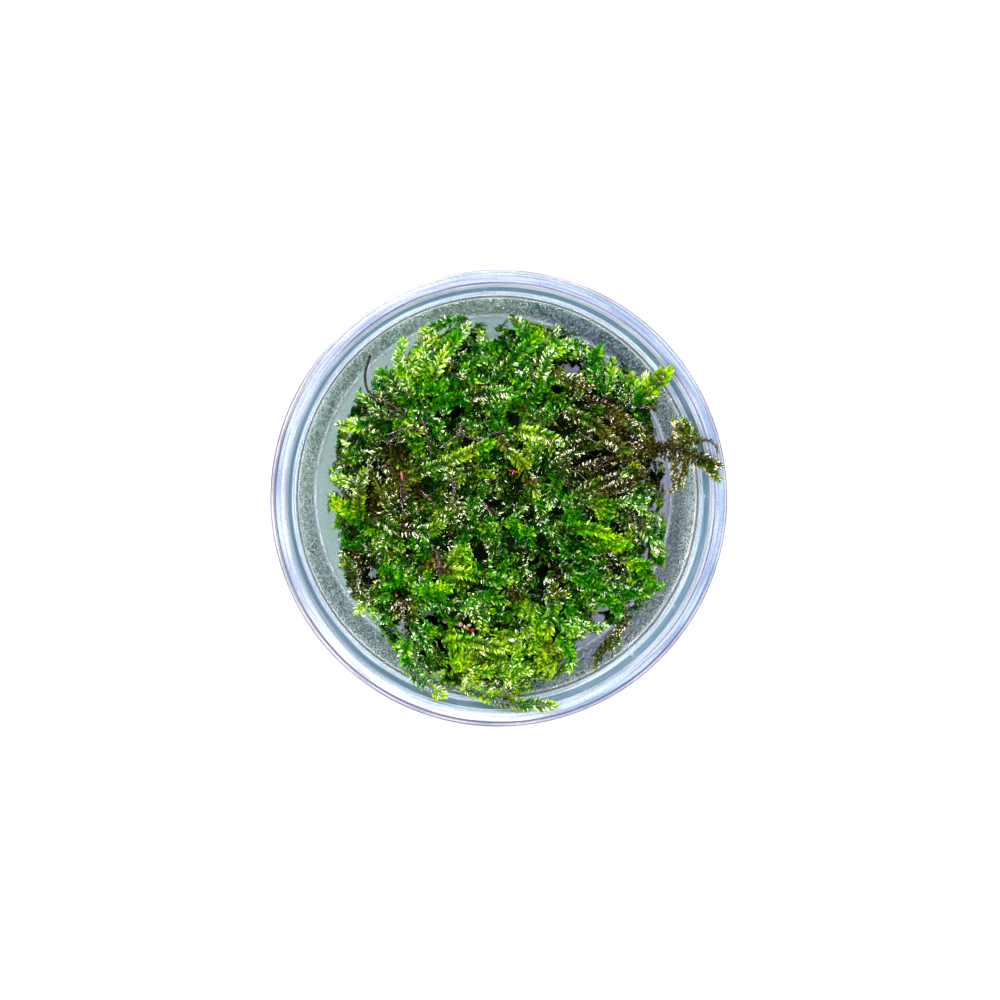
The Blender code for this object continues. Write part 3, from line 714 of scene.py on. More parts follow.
zoneEdge = (1.6, 1.2)  # full strength up to half the radius, none beyond 1.33 radii

# Patches of the same tints, the dark ones painted shade: size, seed, level from which they show, strength;
# and the thin patches of layers
tintPatches = {"brown": (9, 21, 0.5, 0.45), "yellow": (11, 22, 0.2, 0.16), "dark": (8, 23, 0.3, 0.28)}
thinPatches = (8.5, 24)


def zonesAt(places):
    values = []
    for name, circles in zones.items():
        total = np.zeros(len(places))
        for x, y, radius, strength in circles:
            far = np.hypot(places[:, 0] - x, places[:, 1] - y) / radius
            total = np.maximum(total, strength * np.clip(zoneEdge[0] - zoneEdge[1] * far, 0, 1))
        size, seed, level, strength = tintPatches[name]
        values.append(total + strength * np.clip(patches(places, size, seed) - level, 0, 2))
    return values


# Colour ramps from dark to light; the last leaf ramp runs along a leaf from its root to its tip, painted
# shade at the root where it lies under the leaf before, and painted light at the tip
greenLeaf = [
    (0, (0.0005, 0.032, 0.0002)), (0.35, (0.003, 0.125, 0.0002)), (0.6, (0.028, 0.235, 0.0002)),
    (0.8, (0.1, 0.365, 0.0003)), (1, (0.32, 0.55, 0.003)),
]
brownLeaf = [(0, (0.006, 0.004, 0.001)), (0.5, (0.024, 0.02, 0.003)), (1, (0.125, 0.12, 0.01))]
purpleLeaf = [(0, (0.006, 0.001, 0.003)), (0.5, (0.018, 0.005, 0.01)), (1, (0.1, 0.042, 0.06))]
paintedLeafShade = [(0, (0.15, 0.17, 0.15)), (0.5, (0.8, 0.84, 0.8)), (1, (1.6, 1.45, 1))]
greenBark = [(0.3, (0.006, 0.04, 0.001)), (0.5, (0.018, 0.055, 0.002)), (0.7, (0.03, 0.022, 0.006))]
purpleBark = [(0.3, (0.006, 0.001, 0.002)), (0.5, (0.018, 0.003, 0.007)), (0.7, (0.075, 0.022, 0.035))]
brownBark = [(0.3, (0.012, 0.006, 0.002)), (0.5, (0.04, 0.022, 0.005)), (0.7, (0.15, 0.085, 0.02))]
# near-black felt for the heart: painted shade in the depths of the moss
feltInShade = [(0.3, (0.002, 0.007, 0.002)), (0.5, (0.005, 0.016, 0.004)), (0.7, (0.014, 0.014, 0.006))]

# Wet spots: their size, the size of the patches in which they gather, and where coat and glints begin
wetness = {
    "coatSize": 1.2, "glintSize": 0.9, "patchSize": 6.5, "patch": 1.1, "coat": (1.02, 1.18),
    "glint": (1.02, 1.16), "share": 0.16,
}


# A bright metallic glint over part of a finish, for wet places
def addGlint(f, share, colour, rough, relief):
    glint = f.surface({"Base Color": (*colour, 1), "Metallic": 1, "Roughness": rough})
    f.use(glint, normal=relief)
    f.blendShaders(share, f.shader, glint)
    return f.material


def leafFinish(name, youngStops, oldStops):
    settings = {"IOR": 1.4, "Specular IOR Level": 0, "Coat Roughness": 0.08, "Coat IOR": 1.95}
    f = Finish(name, settings)
    tint = f.node("Attribute", {"attribute_name": "leafTint"}, {}, "Color")
    fresh, old, shade = [f.node("SeparateColor", {}, {0: tint}, axis) for axis in (0, 1, 2)]
    alongLeaf = f.node("Attribute", {"attribute_name": "leafTint"}, {}, "Alpha")
    colour = f.mix(old, f.ramp(fresh, youngStops), f.ramp(fresh, oldStops))
    grain = f.noise(0.25, 2)
    # painted shade at each leaf's root and light at its tip, a random grain, and the shade of its layer
    for factor in (
        f.ramp(alongLeaf, paintedLeafShade),
        f.mix(grain, (0.6, 0.6, 0.6), (1.3, 1.3, 1.3)),
        f.mix(shade, (0.22, 0.22, 0.22), (1.2, 1.2, 1.2)),
    ):
        colour = f.times(colour, factor)
    wet = f.noise(wetness["coatSize"], 2)
    shine = f.noise(wetness["patchSize"], 2) * wetness["patch"]
    relief = f.bump(grain, 0.06, 0.5)
    coat = f.step(wet + shine, *wetness["coat"])
    f.use(colour=colour, roughness=0.3 + wet * 0.3, coat=coat, normal=relief)
    spots = f.step(f.noise(wetness["glintSize"], 2) + shine, *wetness["glint"])
    return addGlint(f, spots * wetness["share"], (1, 0.94, 0.5), 0.13, relief)


def stemFinish():
    f = Finish("mossStem", {"Coat Weight": 0.3, "Coat Roughness": 0.1, "Specular IOR Level": 0.1})
    tone = f.noise(1.2)
    relief = f.bump(f.noise(0.2), 0.05, 0.5)
    return f.use(colour=f.ramp(tone, greenBark), roughness=0.35 + tone * 0.2, normal=relief)


def barkFinish(name, stops):
    f = Finish(name, {"Coat Weight": 1, "Coat Roughness": 0.06, "Specular IOR Level": 0})
    tone = f.noise(0.8, 4)
    relief = f.bump(f.noise(0.25, 4), 0.12, 0.8)
    f.use(colour=f.ramp(tone, stops), roughness=0.3 + tone * 0.25, normal=relief)
    return addGlint(f, f.step(f.noise(0.7, 2), 0.57, 0.63) * 0.35, (1, 0.72, 0.82), 0.2, relief)


def heartFinish():
    f = Finish("mossHeart", {"Specular IOR Level": 0})
    tone = f.noise(2.2, 5, 0.6)
    relief = f.bump(f.noise(0.5, 4), 0.5)
    return f.use(colour=f.ramp(tone, feltInShade), roughness=0.75 + tone * 0.2, normal=relief)


leafMaterials = (leafFinish("wetLeaf", greenLeaf, brownLeaf), stemFinish())
oldMaterials = (leafMaterials[0], barkFinish("oldStem", brownBark))
purpleMaterials = (leafFinish("purpleLeaf", purpleLeaf, purpleLeaf), barkFinish("bareStem", purpleBark))

# Openings seen from above, plan x, y and radius: gaps go down to the cup's floor, hollows are dark pits
# under the lowest layer, and deep hollows are open through every layer
gaps = [
    (16.8, 28.5, 2.4), (23.4, -25.4, 2.5), (-15.6, -26.3, 1.7), (-27.8, -17.5, 1.7), (18.8, -33.6, 2.6),
    (-14, -31.6, 1.1), (-16.5, -34, 0.9), (2.4, -34.6, 0.9), (31.7, -18.5, 1.2), (26.3, -17, 1.1),
    (-1, 36.5, 2.2), (-29.4, 28.6, 1.2),
]
hollows = [
    (-9.5, 18.8, 2.6), (-13, 18.3, 1.7), (-26, 5, 2.2), (5.8, -3.5, 2), (-2.5, -1.5, 1.4),
    (9.5, -16.5, 2.8), (-20, -12, 1.5), (20.5, 9, 1.8), (-5, -11.5, 1.3), (27, -7, 1.6),
    (12.5, 24.5, 1.2), (9, -20, 2), (2, -26.5, 2), (5, -27.5, 1.8), (-1.5, -27.5, 1.6), (3.5, 5, 2.4),
    (15, 15.5, 2.6), (18.5, 4.5, 2), (14.5, 2, 1.5), (-1, 3.5, 1.2), (-5.5, 1.5, 1.2), (8.5, -13, 1.6),
    (-16, 2.5, 1.5), (24, 16.5, 1.4), (28, 6, 1.3),
]
deepHollows = [(-12, -27.8, 1.8), (-9, -28.2, 2), (-6, -28.5, 1.7)]

# The felted heart under the leaves, a rounded copy of the solid mat, drawn in from its skin; its near-black
# colour is painted shade in the depths of the moss
heart = {"voxel": 0.9, "ease": 8, "easeBy": 0.6, "sink": 3.8, "most": 0.42, "inside": 0.05}
cutterSize = {"middle": 25, "depth": 60, "segments": 20}


def gapCutter():
    work = bmesh.new()
    for x, y, radius in gaps:
        place = Matrix.Translation(Vector((x, y, cutterSize["middle"])) * mm)
        size = {"radius1": radius * mm, "radius2": radius * mm, "depth": cutterSize["depth"] * mm}
        bmesh.ops.create_cone(work, cap_ends=True, segments=cutterSize["segments"], matrix=place, **size)
    return newObject("gapCutter", meshOf("gapCutter", work))


def roundedMat():
    work = mergedWork(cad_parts["moss_mat"].data)
    obj = newObject("mossHeart", meshOf("mossHeart", work))
    cutter = gapCutter()
    cut = obj.modifiers.new("cut", "BOOLEAN")
    cut.operation = "DIFFERENCE"
    cut.object = cutter
    remesh = obj.modifiers.new("round", "REMESH")
    remesh.mode = "VOXEL"
    remesh.voxel_size = heart["voxel"] * mm
    ease = obj.modifiers.new("ease", "SMOOTH")
    ease.iterations = heart["ease"]
    ease.factor = heart["easeBy"]
    mesh = bakedMesh(obj)
    obj.modifiers.clear()
    bpy.data.objects.remove(cutter)
    obj.data = mesh
    mesh.materials.append(heartFinish())
    return obj


heartPiece = roundedMat()
guide = treeOf(heartPiece.data)
for vert, normal in [(v, v.normal.copy()) for v in heartPiece.data.vertices]:
    place = vert.co / mm
    far = guide.ray_cast(place - normal * heart["inside"], -normal)[3] or 1
    vert.co -= normal * min(heart["sink"], far * heart["most"]) * mm
smooth(heartPiece)
finishPiece(heartPiece, "moss_mat", "moss_mat")
print("heart: felted body made,", len(heartPiece.data.polygons), "faces")


# Routes: fine steps between two points of a plan, spacing of the points that shoots follow, and how a
# route that lies on the mat starts without it, follows its steps and sinks past its edge
follow = {"steps": 12, "spacing": 0.8, "start": 20, "step": 0.5, "sink": 0.35}


def smoothRoute(points, spacing):
    control = [Vector(point) for point in points]
    control = [control[0] * 2 - control[1]] + control + [control[-1] * 2 - control[-2]]
    dense = []
    for index in range(1, len(control) - 2):
        before, start, end, after = control[index - 1:index + 3]
        for step in range(follow["steps"]):
            t = step / follow["steps"]
            dense.append(0.5 * (
                2 * start + (end - before) * t
                + (2 * before - 5 * start + 4 * end - after) * t ** 2
                + (3 * start - before - 3 * end + after) * t ** 3
            ))
    dense.append(control[-2])
    total = sum((b - a).length for a, b in zip(dense, dense[1:]))
    count = max(3, round(total / spacing))
    route = [dense[0]]
    walked = 0
    for first, second in zip(dense, dense[1:]):
        walked += (second - first).length
        if walked >= total * len(route) / count - 1e-6:
            route.append(second)
    return route


def dropOn(tree, x, y):
    hit = tree.ray_cast(Vector((x, y, 90)), Vector((0, 0, -1)))
    return hit[0].z if hit[0] is not None else None


# The free shoots, one piece for each node, along the same plan routes as the solids
shootRoutes = [
    [(-19, 22.5), (-21, 26.5), (-22, 30.5), (-21, 35)],
    [(-20, 22), (-22.5, 24), (-24, 27), (-27, 27.5)],
    [(-26.5, 17.5), (-30, 16), (-33, 16), (-35.5, 16)],
    [(-6, 38.5), (-9.5, 39.5), (-13, 38.5), (-17.5, 36)],
    [(-14.5, 26), (-13, 30), (-9.5, 34.5), (-6.5, 38.5)],
    [(7.5, 31), (6.5, 34.5), (5, 37.5), (3, 40)],
    [(-2, 25), (1, 28.5), (5, 32.5), (9, 36)],
    [(5, 20), (8, 22.5), (9.5, 27.5), (11.5, 33)],
    [(-15, 20), (-11.5, 21.5), (-6, 22.5), (0.5, 23.5), (3.5, 22.5)],
    [(10.5, 30.5), (13.5, 33), (16.5, 34), (19, 33), (21, 31.5)],
    [(22.5, 23.5), (21, 27), (21, 30.5), (22.5, 33.5)],
    [(29.5, 20.5), (32, 23), (34.5, 26), (37, 28)],
    [(-23.5, 11), (-27.5, 9.5), (-32, 9), (-34.5, 8)],
    [(-30.5, -5.5), (-31, -2), (-30.5, 2), (-29.5, 6.5)],
    [(-28.5, -3), (-25, -5), (-23, -6.5), (-19, -7), (-15, -7), (-12, -5)],
    [(-20.5, 4.5), (-18, 5.5), (-13, 7.5), (-6, 10.5), (-1, 12.5)],
    [(0.5, 14), (1.5, 11), (4, 8.5), (6, 5.5), (7, 3.5), (8.5, 0.5)],
    [(3, 15), (7, 14.5), (11, 13.5), (14, 12)],
    [(15, 10), (14, 6), (12, 2), (11, -2)],
    [(15, 19), (19, 17.5), (22.5, 15), (25, 12.5), (29, 10)],
    [(16, 0.5), (21, 3), (24.5, 4), (28, 5.5)],
    [(14.5, -7), (18, -6.5), (21.5, -7), (25, -8.5)],
    [(13.5, -14), (16.5, -17), (21.5, -19.5), (26.5, -20.5), (31.5, -21), (36.5, -19.5)],
    [(30.5, -4), (32.5, -7.5), (35, -10.5), (37, -12.5)],
    [(-29, -23), (-31.5, -21), (-32.5, -17.5), (-33.5, -13.5)],
    [(-13, -15.5), (-7, -16.5), (-2.5, -17.5), (2.5, -18)],
    [(-12.5, -32), (-7.5, -31), (-2.5, -32), (1.5, -33)],
    [(-20, -30), (-20.5, -36), (-16.5, -40.5), (-12, -43)],
    [(-7.5, -42), (-2.5, -43.5), (3, -44.5), (12, -45)],
    [(10.5, -20.5), (11.5, -24), (11, -27), (10.5, -30.5)],
]
frondRoutes = [
    [(33, 11.6), (36.5, 11.2), (40, 10.5), (43.5, 9.5), (46, 8), (48.3, 7)],
    [(41.6, 12.4), (41.4, 14), (41, 15.8), (40, 17.5)],
    [(40.5, 7.2), (40, 5.5), (39.3, 4), (38.5, 2.5)],
]
wispRoute = [(29.5, -27), (26, -31), (23, -34.5), (21.5, -38)]
stemRoutes = [
    [(-28.5, 31.5), (-29.5, 27.5), (-29, 24), (-27, 21.5), (-23.5, 20.5), (-20.5, 18.5)],
    [(-24.5, 14), (-20.5, 15.5), (-18.5, 15.5)],
    [(-17, 17.5), (-16, 15), (-15.5, 12.5), (-15, 9.5)],
    [(-21.5, 2.5), (-21.5, -0.5), (-21, -3)],
    [(-13, 11), (-9, 14), (-7, 13.5), (-4.5, 13), (-2.5, 14)],
    [(-15, -10.5), (-13.5, -12.5), (-12.8, -13.5)],
    [(31, 20), (34, 20), (37, 20)],
]


def onNode(node, plan, depth):
    tree = treeOf(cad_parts[node].data)
    heights = []
    for point in smoothRoute(plan, follow["spacing"]):
        heights.append((point, dropOn(tree, point.x, point.y)))
    route = []
    last = next(height for _, height in heights if height is not None)
    for point, height in heights:
        last = height if height is not None else last
        route.append(Vector((point.x, point.y, last - depth)))
    return route


def openingsOver(holes):
    return [(x, y, 0, radius, 0) for x, y, radius in holes]


# How deep under the top of its solid a route runs, and the radius and height from which leaves leave it free
depths = {"stem": -0.25, "shoot": 0.4, "under": 0.8, "frond": 0.7, "wisp": 0.5}
freeOver = {"stem": (0.7, -0.3), "shoot": (1.25, 0.1)}
barePaths = [onNode(f"bare_stem_{n}", plan, depths["stem"]) for n, plan in enumerate(stemRoutes, 1)]
shootPaths = [onNode(f"shoot_{n:02d}", plan, depths["under"]) for n, plan in enumerate(shootRoutes, 1)]
overFloor, overHollows, overDeep = openingsOver(gaps), openingsOver(hollows), openingsOver(deepHollows)
overStems = [(*point, *freeOver["stem"]) for path in barePaths for point in path]
overShoots = [(*point, *freeOver["shoot"]) for path in shootPaths for point in path]

seeds = {"lying": 77, "old": 88, "shoots": 300, "fronds": 500, "wisp": 601, "stems": 700, "twigs": 750}

# Strands that wander over the mat in layers; each lifts its tip by rise at every step of its last millimetres
strands = {
    "seed": 11, "step": 1, "lengths": (10, 24), "bend": 0.16, "wobble": 0.06, "rise": 0.28, "tip": 4,
    "turnBy": 0.4, "fromTop": 0.55, "above": 46, "ball": 50, "middle": 20, "tall": 40, "depthSpread": 0.4,
    "freshSpread": 0.25,
    "layers": [
        {"count": 225, "depth": -2.8, "shade": 0.38, "thin": 3},
        {"count": 260, "depth": -1.5, "shade": 0.45, "thin": 0.5},
        {"count": 270, "depth": -0.4, "shade": 0.78, "thin": 0},
        {"count": 260, "depth": 0.7, "shade": 1, "thin": -0.4},
    ],
}
inHollows = {"rounds": 2, "depth": (-3.4, -2.4), "length": 5, "shade": 0.42, "fresh": 0.4}
leafLook = {
    "pitch": 0.18, "rows": (-82, 82, -40, 40, 0), "spread": 60, "length": 1.35, "width": 0.66, "stem": 0.15,
    "fresh": 0.4, "old": 0.05, "shade": 0.85,
}


def wander(draw, start, depth, length):
    hit = guide.find_nearest(start)
    place, normal = hit[0], hit[1]
    heading = Vector((draw.gauss(0, 1), draw.gauss(0, 1), draw.gauss(0, 0.5)))
    points, ups = [], []
    bend = draw.uniform(-strands["bend"], strands["bend"])
    travelled = 0
    lift = depth
    while travelled < length:
        heading = heading - normal * heading.dot(normal)
        heading.normalize()
        points.append(place + normal * lift)
        ups.append(normal.copy())
        heading.rotate(Matrix.Rotation(bend + draw.gauss(0, strands["wobble"]), 3, normal))
        ahead = place + heading * strands["step"]
        hit = guide.find_nearest(ahead)
        place = hit[0]
        normal = (normal * (1 - strands["turnBy"]) + hit[1] * strands["turnBy"]).normalized()
        travelled += strands["step"]
        if length - travelled < strands["tip"]:
            lift += strands["rise"]
    return points, ups


# A place to start from: half of the strands start on top of the mat, the others anywhere round it
def strandStart(draw, low, high):
    turn = draw.uniform(0, math.tau)
    climb = draw.uniform(-0.9, 1)
    ring = math.sqrt(max(0, 1 - climb * climb)) * strands["ball"]
    height = strands["middle"] + strands["tall"] * climb
    start = Vector((ring * math.cos(turn), ring * math.sin(turn), height))
    if draw.random() < strands["fromTop"]:
        start = Vector((draw.uniform(low.x, high.x), draw.uniform(low.y, high.y), strands["above"]))
    return start


def growMat():
    draw = random.Random(strands["seed"])
    low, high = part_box("moss_mat")
    low, high = low / mm, high / mm
    deep, fresh = strands["depthSpread"], strands["freshSpread"]
    for number, layer in enumerate(strands["layers"], 1):
        openings = overFloor + overDeep + overStems + overShoots + (overHollows if number > 1 else [])
        foliage = Foliage(strands["seed"] + number, openings, layer["thin"])
        for _ in range(layer["count"]):
            start = strandStart(draw, low, high)
            depth = layer["depth"] + draw.uniform(-deep, deep)
            points, ups = wander(draw, start, depth, draw.uniform(*strands["lengths"]))
            look = dict(leafLook, shade=layer["shade"], fresh=leafLook["fresh"] + draw.uniform(-fresh, fresh))
            foliage.addShoot(points, ups, look)
        for x, y, radius in hollows * (inHollows["rounds"] if number == 1 else 0):
            place = (x + draw.uniform(-radius, radius), y + draw.uniform(-radius, radius), strands["above"])
            points, ups = wander(draw, Vector(place), draw.uniform(*inHollows["depth"]), inHollows["length"])
            look = dict(leafLook, shade=inHollows["shade"], fresh=inHollows["fresh"])
            foliage.addShoot(points, ups, look)
        finishPiece(foliage.build(f"mossLayer{number}", leafMaterials), "moss_mat", "moss_mat")


growMat()


# More shoots lying on the mat itself, from the root end to the tip
lyingRoutes = [
    [(-24, 17.5), (-27, 19.5), (-29, 21.5), (-31, 23)], [(23, 22.5), (24.5, 25), (25, 28), (25.5, 31)],
    [(15, 36.5), (10, 37.5), (5, 39)], [(-30, 4), (-32.5, 3.5), (-36.5, 4.5)],
    [(-23.5, -3.5), (-25, -0.5), (-26.5, 3), (-28.5, 7)], [(-32, -5.5), (-34.5, -2), (-37, 0.5)],
    [(9, 18.5), (5.5, 19.5), (1.5, 20.5), (-2.5, 21)], [(-5, -6.5), (-6, -3), (-7, -0.5)],
    [(0.5, -5), (3.5, -4.5), (5, -1.5), (6.5, 1.5)], [(20, 20.5), (25, 18.5), (30, 15.5), (33.5, 12)],
    [(17.5, -0.5), (21, -1.5), (24.5, -1.5), (29, -0.5)], [(26.5, -13.5), (31, -15), (35, -19)],
    [(-24.5, -13.5), (-26, -17), (-27.5, -20.5), (-31.5, -25.5)],
    [(-20, -27), (-17.5, -30), (-15, -33.5), (-11.5, -36.5)],
    [(-19.5, -37.5), (-21.5, -35), (-24, -32.5)], [(1.5, -35.5), (6, -33.5), (10, -32), (13.5, -33.5)],
    [(-6, -37.5), (-2, -38), (3, -37.5), (7, -38)],
    [(-18.5, -20), (-13.5, -22.5), (-9, -23.5), (-4.5, -23)],
    [(19, -25), (21.5, -23), (25, -24), (27, -26.5)], [(28.5, 20), (31, 22), (33, 23), (35.5, 23)],
    [(29, 22.5), (31.5, 25), (33, 27.5)], [(14.5, -24), (17, -27), (20.5, -28.6), (23.8, -28.4)],
    [(13, -26.5), (15.5, -29), (18.5, -30.4)], [(12.5, -30), (14.5, -32.5), (16, -35.5), (15.6, -38.5)],
]


def layOnMat(plan, lift):
    route = []
    height = None
    for point in smoothRoute([(x, y, 0) for x, y in plan], follow["spacing"]):
        found = dropOn(guide, point.x, point.y)
        if height is None:
            height = found or follow["start"]
        elif found is None or found < height - follow["step"]:
            height -= follow["sink"]
        else:
            height += min(follow["step"], max(-follow["step"], found - height))
        route.append(Vector((point.x, point.y, height + lift)))
    return route


# Shoots laid on the mat: lift over it, and how far their freshness varies
def growOver(name, plans, lift, look, freshness, materials, slotName, seed):
    foliage = Foliage(seed, overStems + overFloor)
    for plan in plans:
        fresh = look["fresh"] + foliage.draw.uniform(*freshness)
        foliage.lay(layOnMat(plan, lift), dict(look, fresh=fresh))
    finishPiece(foliage.build(name, materials), slotName, "moss_mat")


lyingLook = dict(leafLook, fresh=0.42, shade=1, length=1.6)
growOver("lyingShoots", lyingRoutes, 0.9, lyingLook, (-0.1, 0.2), leafMaterials, "moss_mat", seeds["lying"])

# Old brown shoots on the mat, from the root end to the tip
oldRoutes = [
    [(14.2, 18.9), (20.1, 16), (26.7, 13.6), (34.4, 11.4)],
    [(16.8, 6.1), (22.3, 7.9), (28.9, 9.4), (34.4, 10.1)],
    [(13.5, 3.9), (20.1, 1.8), (26.7, 2.2), (33.3, 6.1)],
    [(17.9, 22.6), (23.4, 20.4), (28.9, 17.1), (34.4, 12.7)], [(22.3, 12.7), (28.9, 11.6), (35.5, 11.2)],
    [(-28.4, 7.2), (-30.1, 2.4), (-30.8, -2.6)],
    [(-33.6, -14.9), (-32.7, -18), (-31.2, -20.6), (-29.5, -22.1)], [(-24.5, 8), (-22.5, 5), (-22, 1)],
    [(9, 30), (13, 27), (17, 25), (21, 24.5)], [(-14.5, -11), (-13.5, -14), (-12.8, -17)],
]
oldLook = dict(leafLook, fresh=0, old=0.85, shade=0.72, length=1.25, stem=0.3)
growOver("oldShoots", oldRoutes, 1.3, oldLook, (0.35, 0.6), oldMaterials, "old_brown_shoot", seeds["old"])

# Looks of the free shoots, each on its own solid, and of the old brown tuft and wisp
freeLook = dict(leafLook, fresh=0.42, shade=1, length=1.7, spread=66, pitch=0.16, rows=(-80, 80, -58, 58, 0))
brownLook = dict(leafLook, fresh=0.6, old=0.85, shade=0.8, length=1.7, width=0.75, spread=66, stem=0.3)
broadShoots = {12: {"length": 2.3, "width": 1.15, "rows": (-80, 80, -50, 50, -20, 20)}}
freeFreshness = (-0.12, 0.2)


def growShoots():
    draw = random.Random(seeds["shoots"])
    for number, plan in enumerate(shootRoutes, 1):
        node = f"shoot_{number:02d}"
        foliage = Foliage(seeds["shoots"] + number, overStems + overFloor)
        fresh = freeLook["fresh"] + draw.uniform(*freeFreshness)
        look = dict(freeLook, fresh=fresh, **broadShoots.get(number, {}))
        foliage.lay(onNode(node, plan, depths["shoot"]), look)
        finishPiece(foliage.build(f"leafyShoot{number}", leafMaterials), "green_shoot", node)


growShoots()


# The old brown tuft that hangs over the rim: the side sprigs of each frond, plan x, y and rise over the frond
frondSprigs = [
    [
        [(36, 11, 0.3), (37.6, 12.4, 0.7), (38.6, 14, 0.9)],
        [(38, 10.8, 0.2), (40, 11.8, 0.5), (42, 12.4, 0.6), (44, 12.9, 0.8)],
        [(34.5, 11.4, 0), (36, 9.6, 0.2), (38.5, 8.8, 0), (41, 8.4, -0.2)],
        [(42, 9.9, 0), (44.2, 8.4, 0.1), (46, 6.6, 0), (47.2, 5.2, -0.3)],
        [(44, 9.2, 0.1), (45.6, 7.4, 0.1), (46.6, 5.6, 0), (47.9, 4.3, -0.4)],
        [(40, 10.5, -0.2), (42, 8.9, -0.3), (43.6, 7.4, -0.6)],
    ],
    [
        [(41.5, 12.6, 0.1), (42.4, 14, 0.2), (42.4, 15.6, 0.2)],
        [(41.6, 12.8, 0), (40.2, 14.2, 0.1), (39, 15.6, 0.1), (38.2, 17, 0)],
        [(41.4, 12.4, -0.2), (39.8, 12.8, -0.3), (38.4, 14.2, -0.3)],
    ],
    [
        [(40.8, 8.8, 0.2), (40.4, 6.6, 0.1), (39.6, 4.4, 0), (38.5, 2.4, -0.3), (37.3, 1.4, -0.6)],
        [(38.6, 8.8, 0.2), (38.2, 7, 0.1), (38.1, 5.4, -0.1), (37.9, 3.8, -0.3)],
        [(39.6, 4.4, 0), (40.3, 3.2, -0.1), (40.4, 2.2, -0.3)],
    ],
]
sprigLooks = [
    {"length": 1.5, "width": 0.72, "pitch": 0.19, "old": 0.72}, {"length": 1.5, "width": 0.8, "old": 0.66},
    {"length": 1.15, "width": 0.6, "spread": 48, "old": 0.8},
]
loopLook = dict(brownLook, length=0.6, width=0.36, pitch=0.25)
loopRoute = [(42.6, 11.9, 0.5), (44.4, 12.9, 0.9), (46.2, 12.4, 1.1), (47.3, 10.8, 0.9), (47.2, 9.2, 0.5)]


def nearestHeight(route, x, y):
    return min(route, key=lambda point: (point.x - x) ** 2 + (point.y - y) ** 2).z


# A route over another one, from plan x, y and rise
def risenRoute(spine, plan, spacing=0.6):
    return smoothRoute([(x, y, nearestHeight(spine, x, y) + rise) for x, y, rise in plan], spacing)


def growTuft():
    for number, plan in enumerate(frondRoutes, 1):
        node = f"brown_frond_{number}"
        foliage = Foliage(seeds["fronds"] + number)
        spine = onNode(node, plan, depths["frond"])
        look = dict(brownLook, **sprigLooks[number - 1])
        foliage.lay(spine, look)
        for sprig in frondSprigs[number - 1]:
            foliage.lay(risenRoute(spine, sprig), look)
        if number == 1:
            foliage.lay(risenRoute(spine, loopRoute, 0.5), loopLook)
        finishPiece(foliage.build(f"brownFrond{number}", oldMaterials), "old_brown_shoot", node)


growTuft()


# The thin strand at the lower right: small leaves along it and on one branch, and bare side twigs
wispLook = dict(brownLook, length=1.3, width=0.78, pitch=0.2, shade=0.85, stem=0.28, spread=56)
wispRise = {"sprig": 0.2, "twig": 0.3}
wispTwigRadius = 0.26
wispSprig = [(26, -29.4), (26.9, -31.1), (26.3, -32.5), (24.9, -33.8)]
wispTwigs = [
    [(28, -26.1), (28.4, -27.6), (28.7, -28.9)],
    [(28.2, -27.4), (26.7, -29.2), (25.6, -29.8), (24.3, -31.1), (23.8, -32.2)],
    [(25.4, -32.9), (25.6, -34.6), (25.5, -36)], [(23.4, -32.6), (22.2, -34.6), (20.8, -35.4)],
]


def growWisp():
    foliage = Foliage(seeds["wisp"])
    spine = onNode("brown_wisp_1", wispRoute, depths["wisp"])
    foliage.lay(spine, wispLook)
    foliage.lay(risenRoute(spine, [(x, y, wispRise["sprig"]) for x, y in wispSprig]), wispLook)
    for plan in wispTwigs:
        route = risenRoute(spine, [(x, y, wispRise["twig"]) for x, y in plan])
        foliage.stems.append((rowsOf(route), wispTwigRadius))
    finishPiece(foliage.build("brownWisp1", oldMaterials), "old_brown_shoot", "brown_wisp_1")


growWisp()


# Thin twigs with the stumps of leaves, beside the bare stems
twigRoutes = [
    [(-28.4, 23), (-26.2, 21.9), (-23.3, 21.1), (-20.9, 20.3)], [(-24.2, 19.5), (-21.6, 18)],
    [(-22.8, 25.1), (-20.6, 22.3)], [(-25.4, 12.5), (-23.4, 12.9), (-22.2, 14.3)],
    [(-18.5, 15.5), (-17, 14.5)], [(-8.4, 16.3), (-8.8, 14.2)], [(-2.5, 14), (0.4, 14.7), (1.4, 15.6)],
    [(-21.2, 5.9), (-21, 2.5), (-20.6, -0.5)], [(-14, -11.4), (-13.4, -14), (-12.8, -16.9)],
    [(-21.6, -22.4), (-21, -26.5), (-20.5, -31.1)], [(-10.6, 5.3), (-9.9, 2.2), (-10.4, -0.9)],
    [(-17.2, 1.8), (-15, -0.4), (-13.7, -1.8)], [(-4.5, -0.4), (-2.3, -2.2), (0.2, -3.7)],
    [(10.5, 30.5), (9.1, 28.9), (7.5, 26.5)],
]
stump = dict(leafLook, pitch=0.16, spread=48, length=0.5, width=0.26, stem=0.25, fresh=0.5, old=1, shade=0.9)
bareLook = dict(stump, length=0.38, stem=0.33, pitch=0.24)
twigLift = 2.2


def growBareStems():
    for number, route in enumerate(barePaths, 1):
        foliage = Foliage(seeds["stems"] + number)
        foliage.lay(route, bareLook)
        piece = foliage.build(f"bareStem{number}", purpleMaterials)
        finishPiece(piece, "bare_stem", f"bare_stem_{number}")
    foliage = Foliage(seeds["twigs"])
    for plan in twigRoutes:
        foliage.lay(layOnMat(plan, twigLift), stump)
    finishPiece(foliage.build("twigs", purpleMaterials), "bare_stem")


growBareStems()
print("stems: bare stems and twigs made")


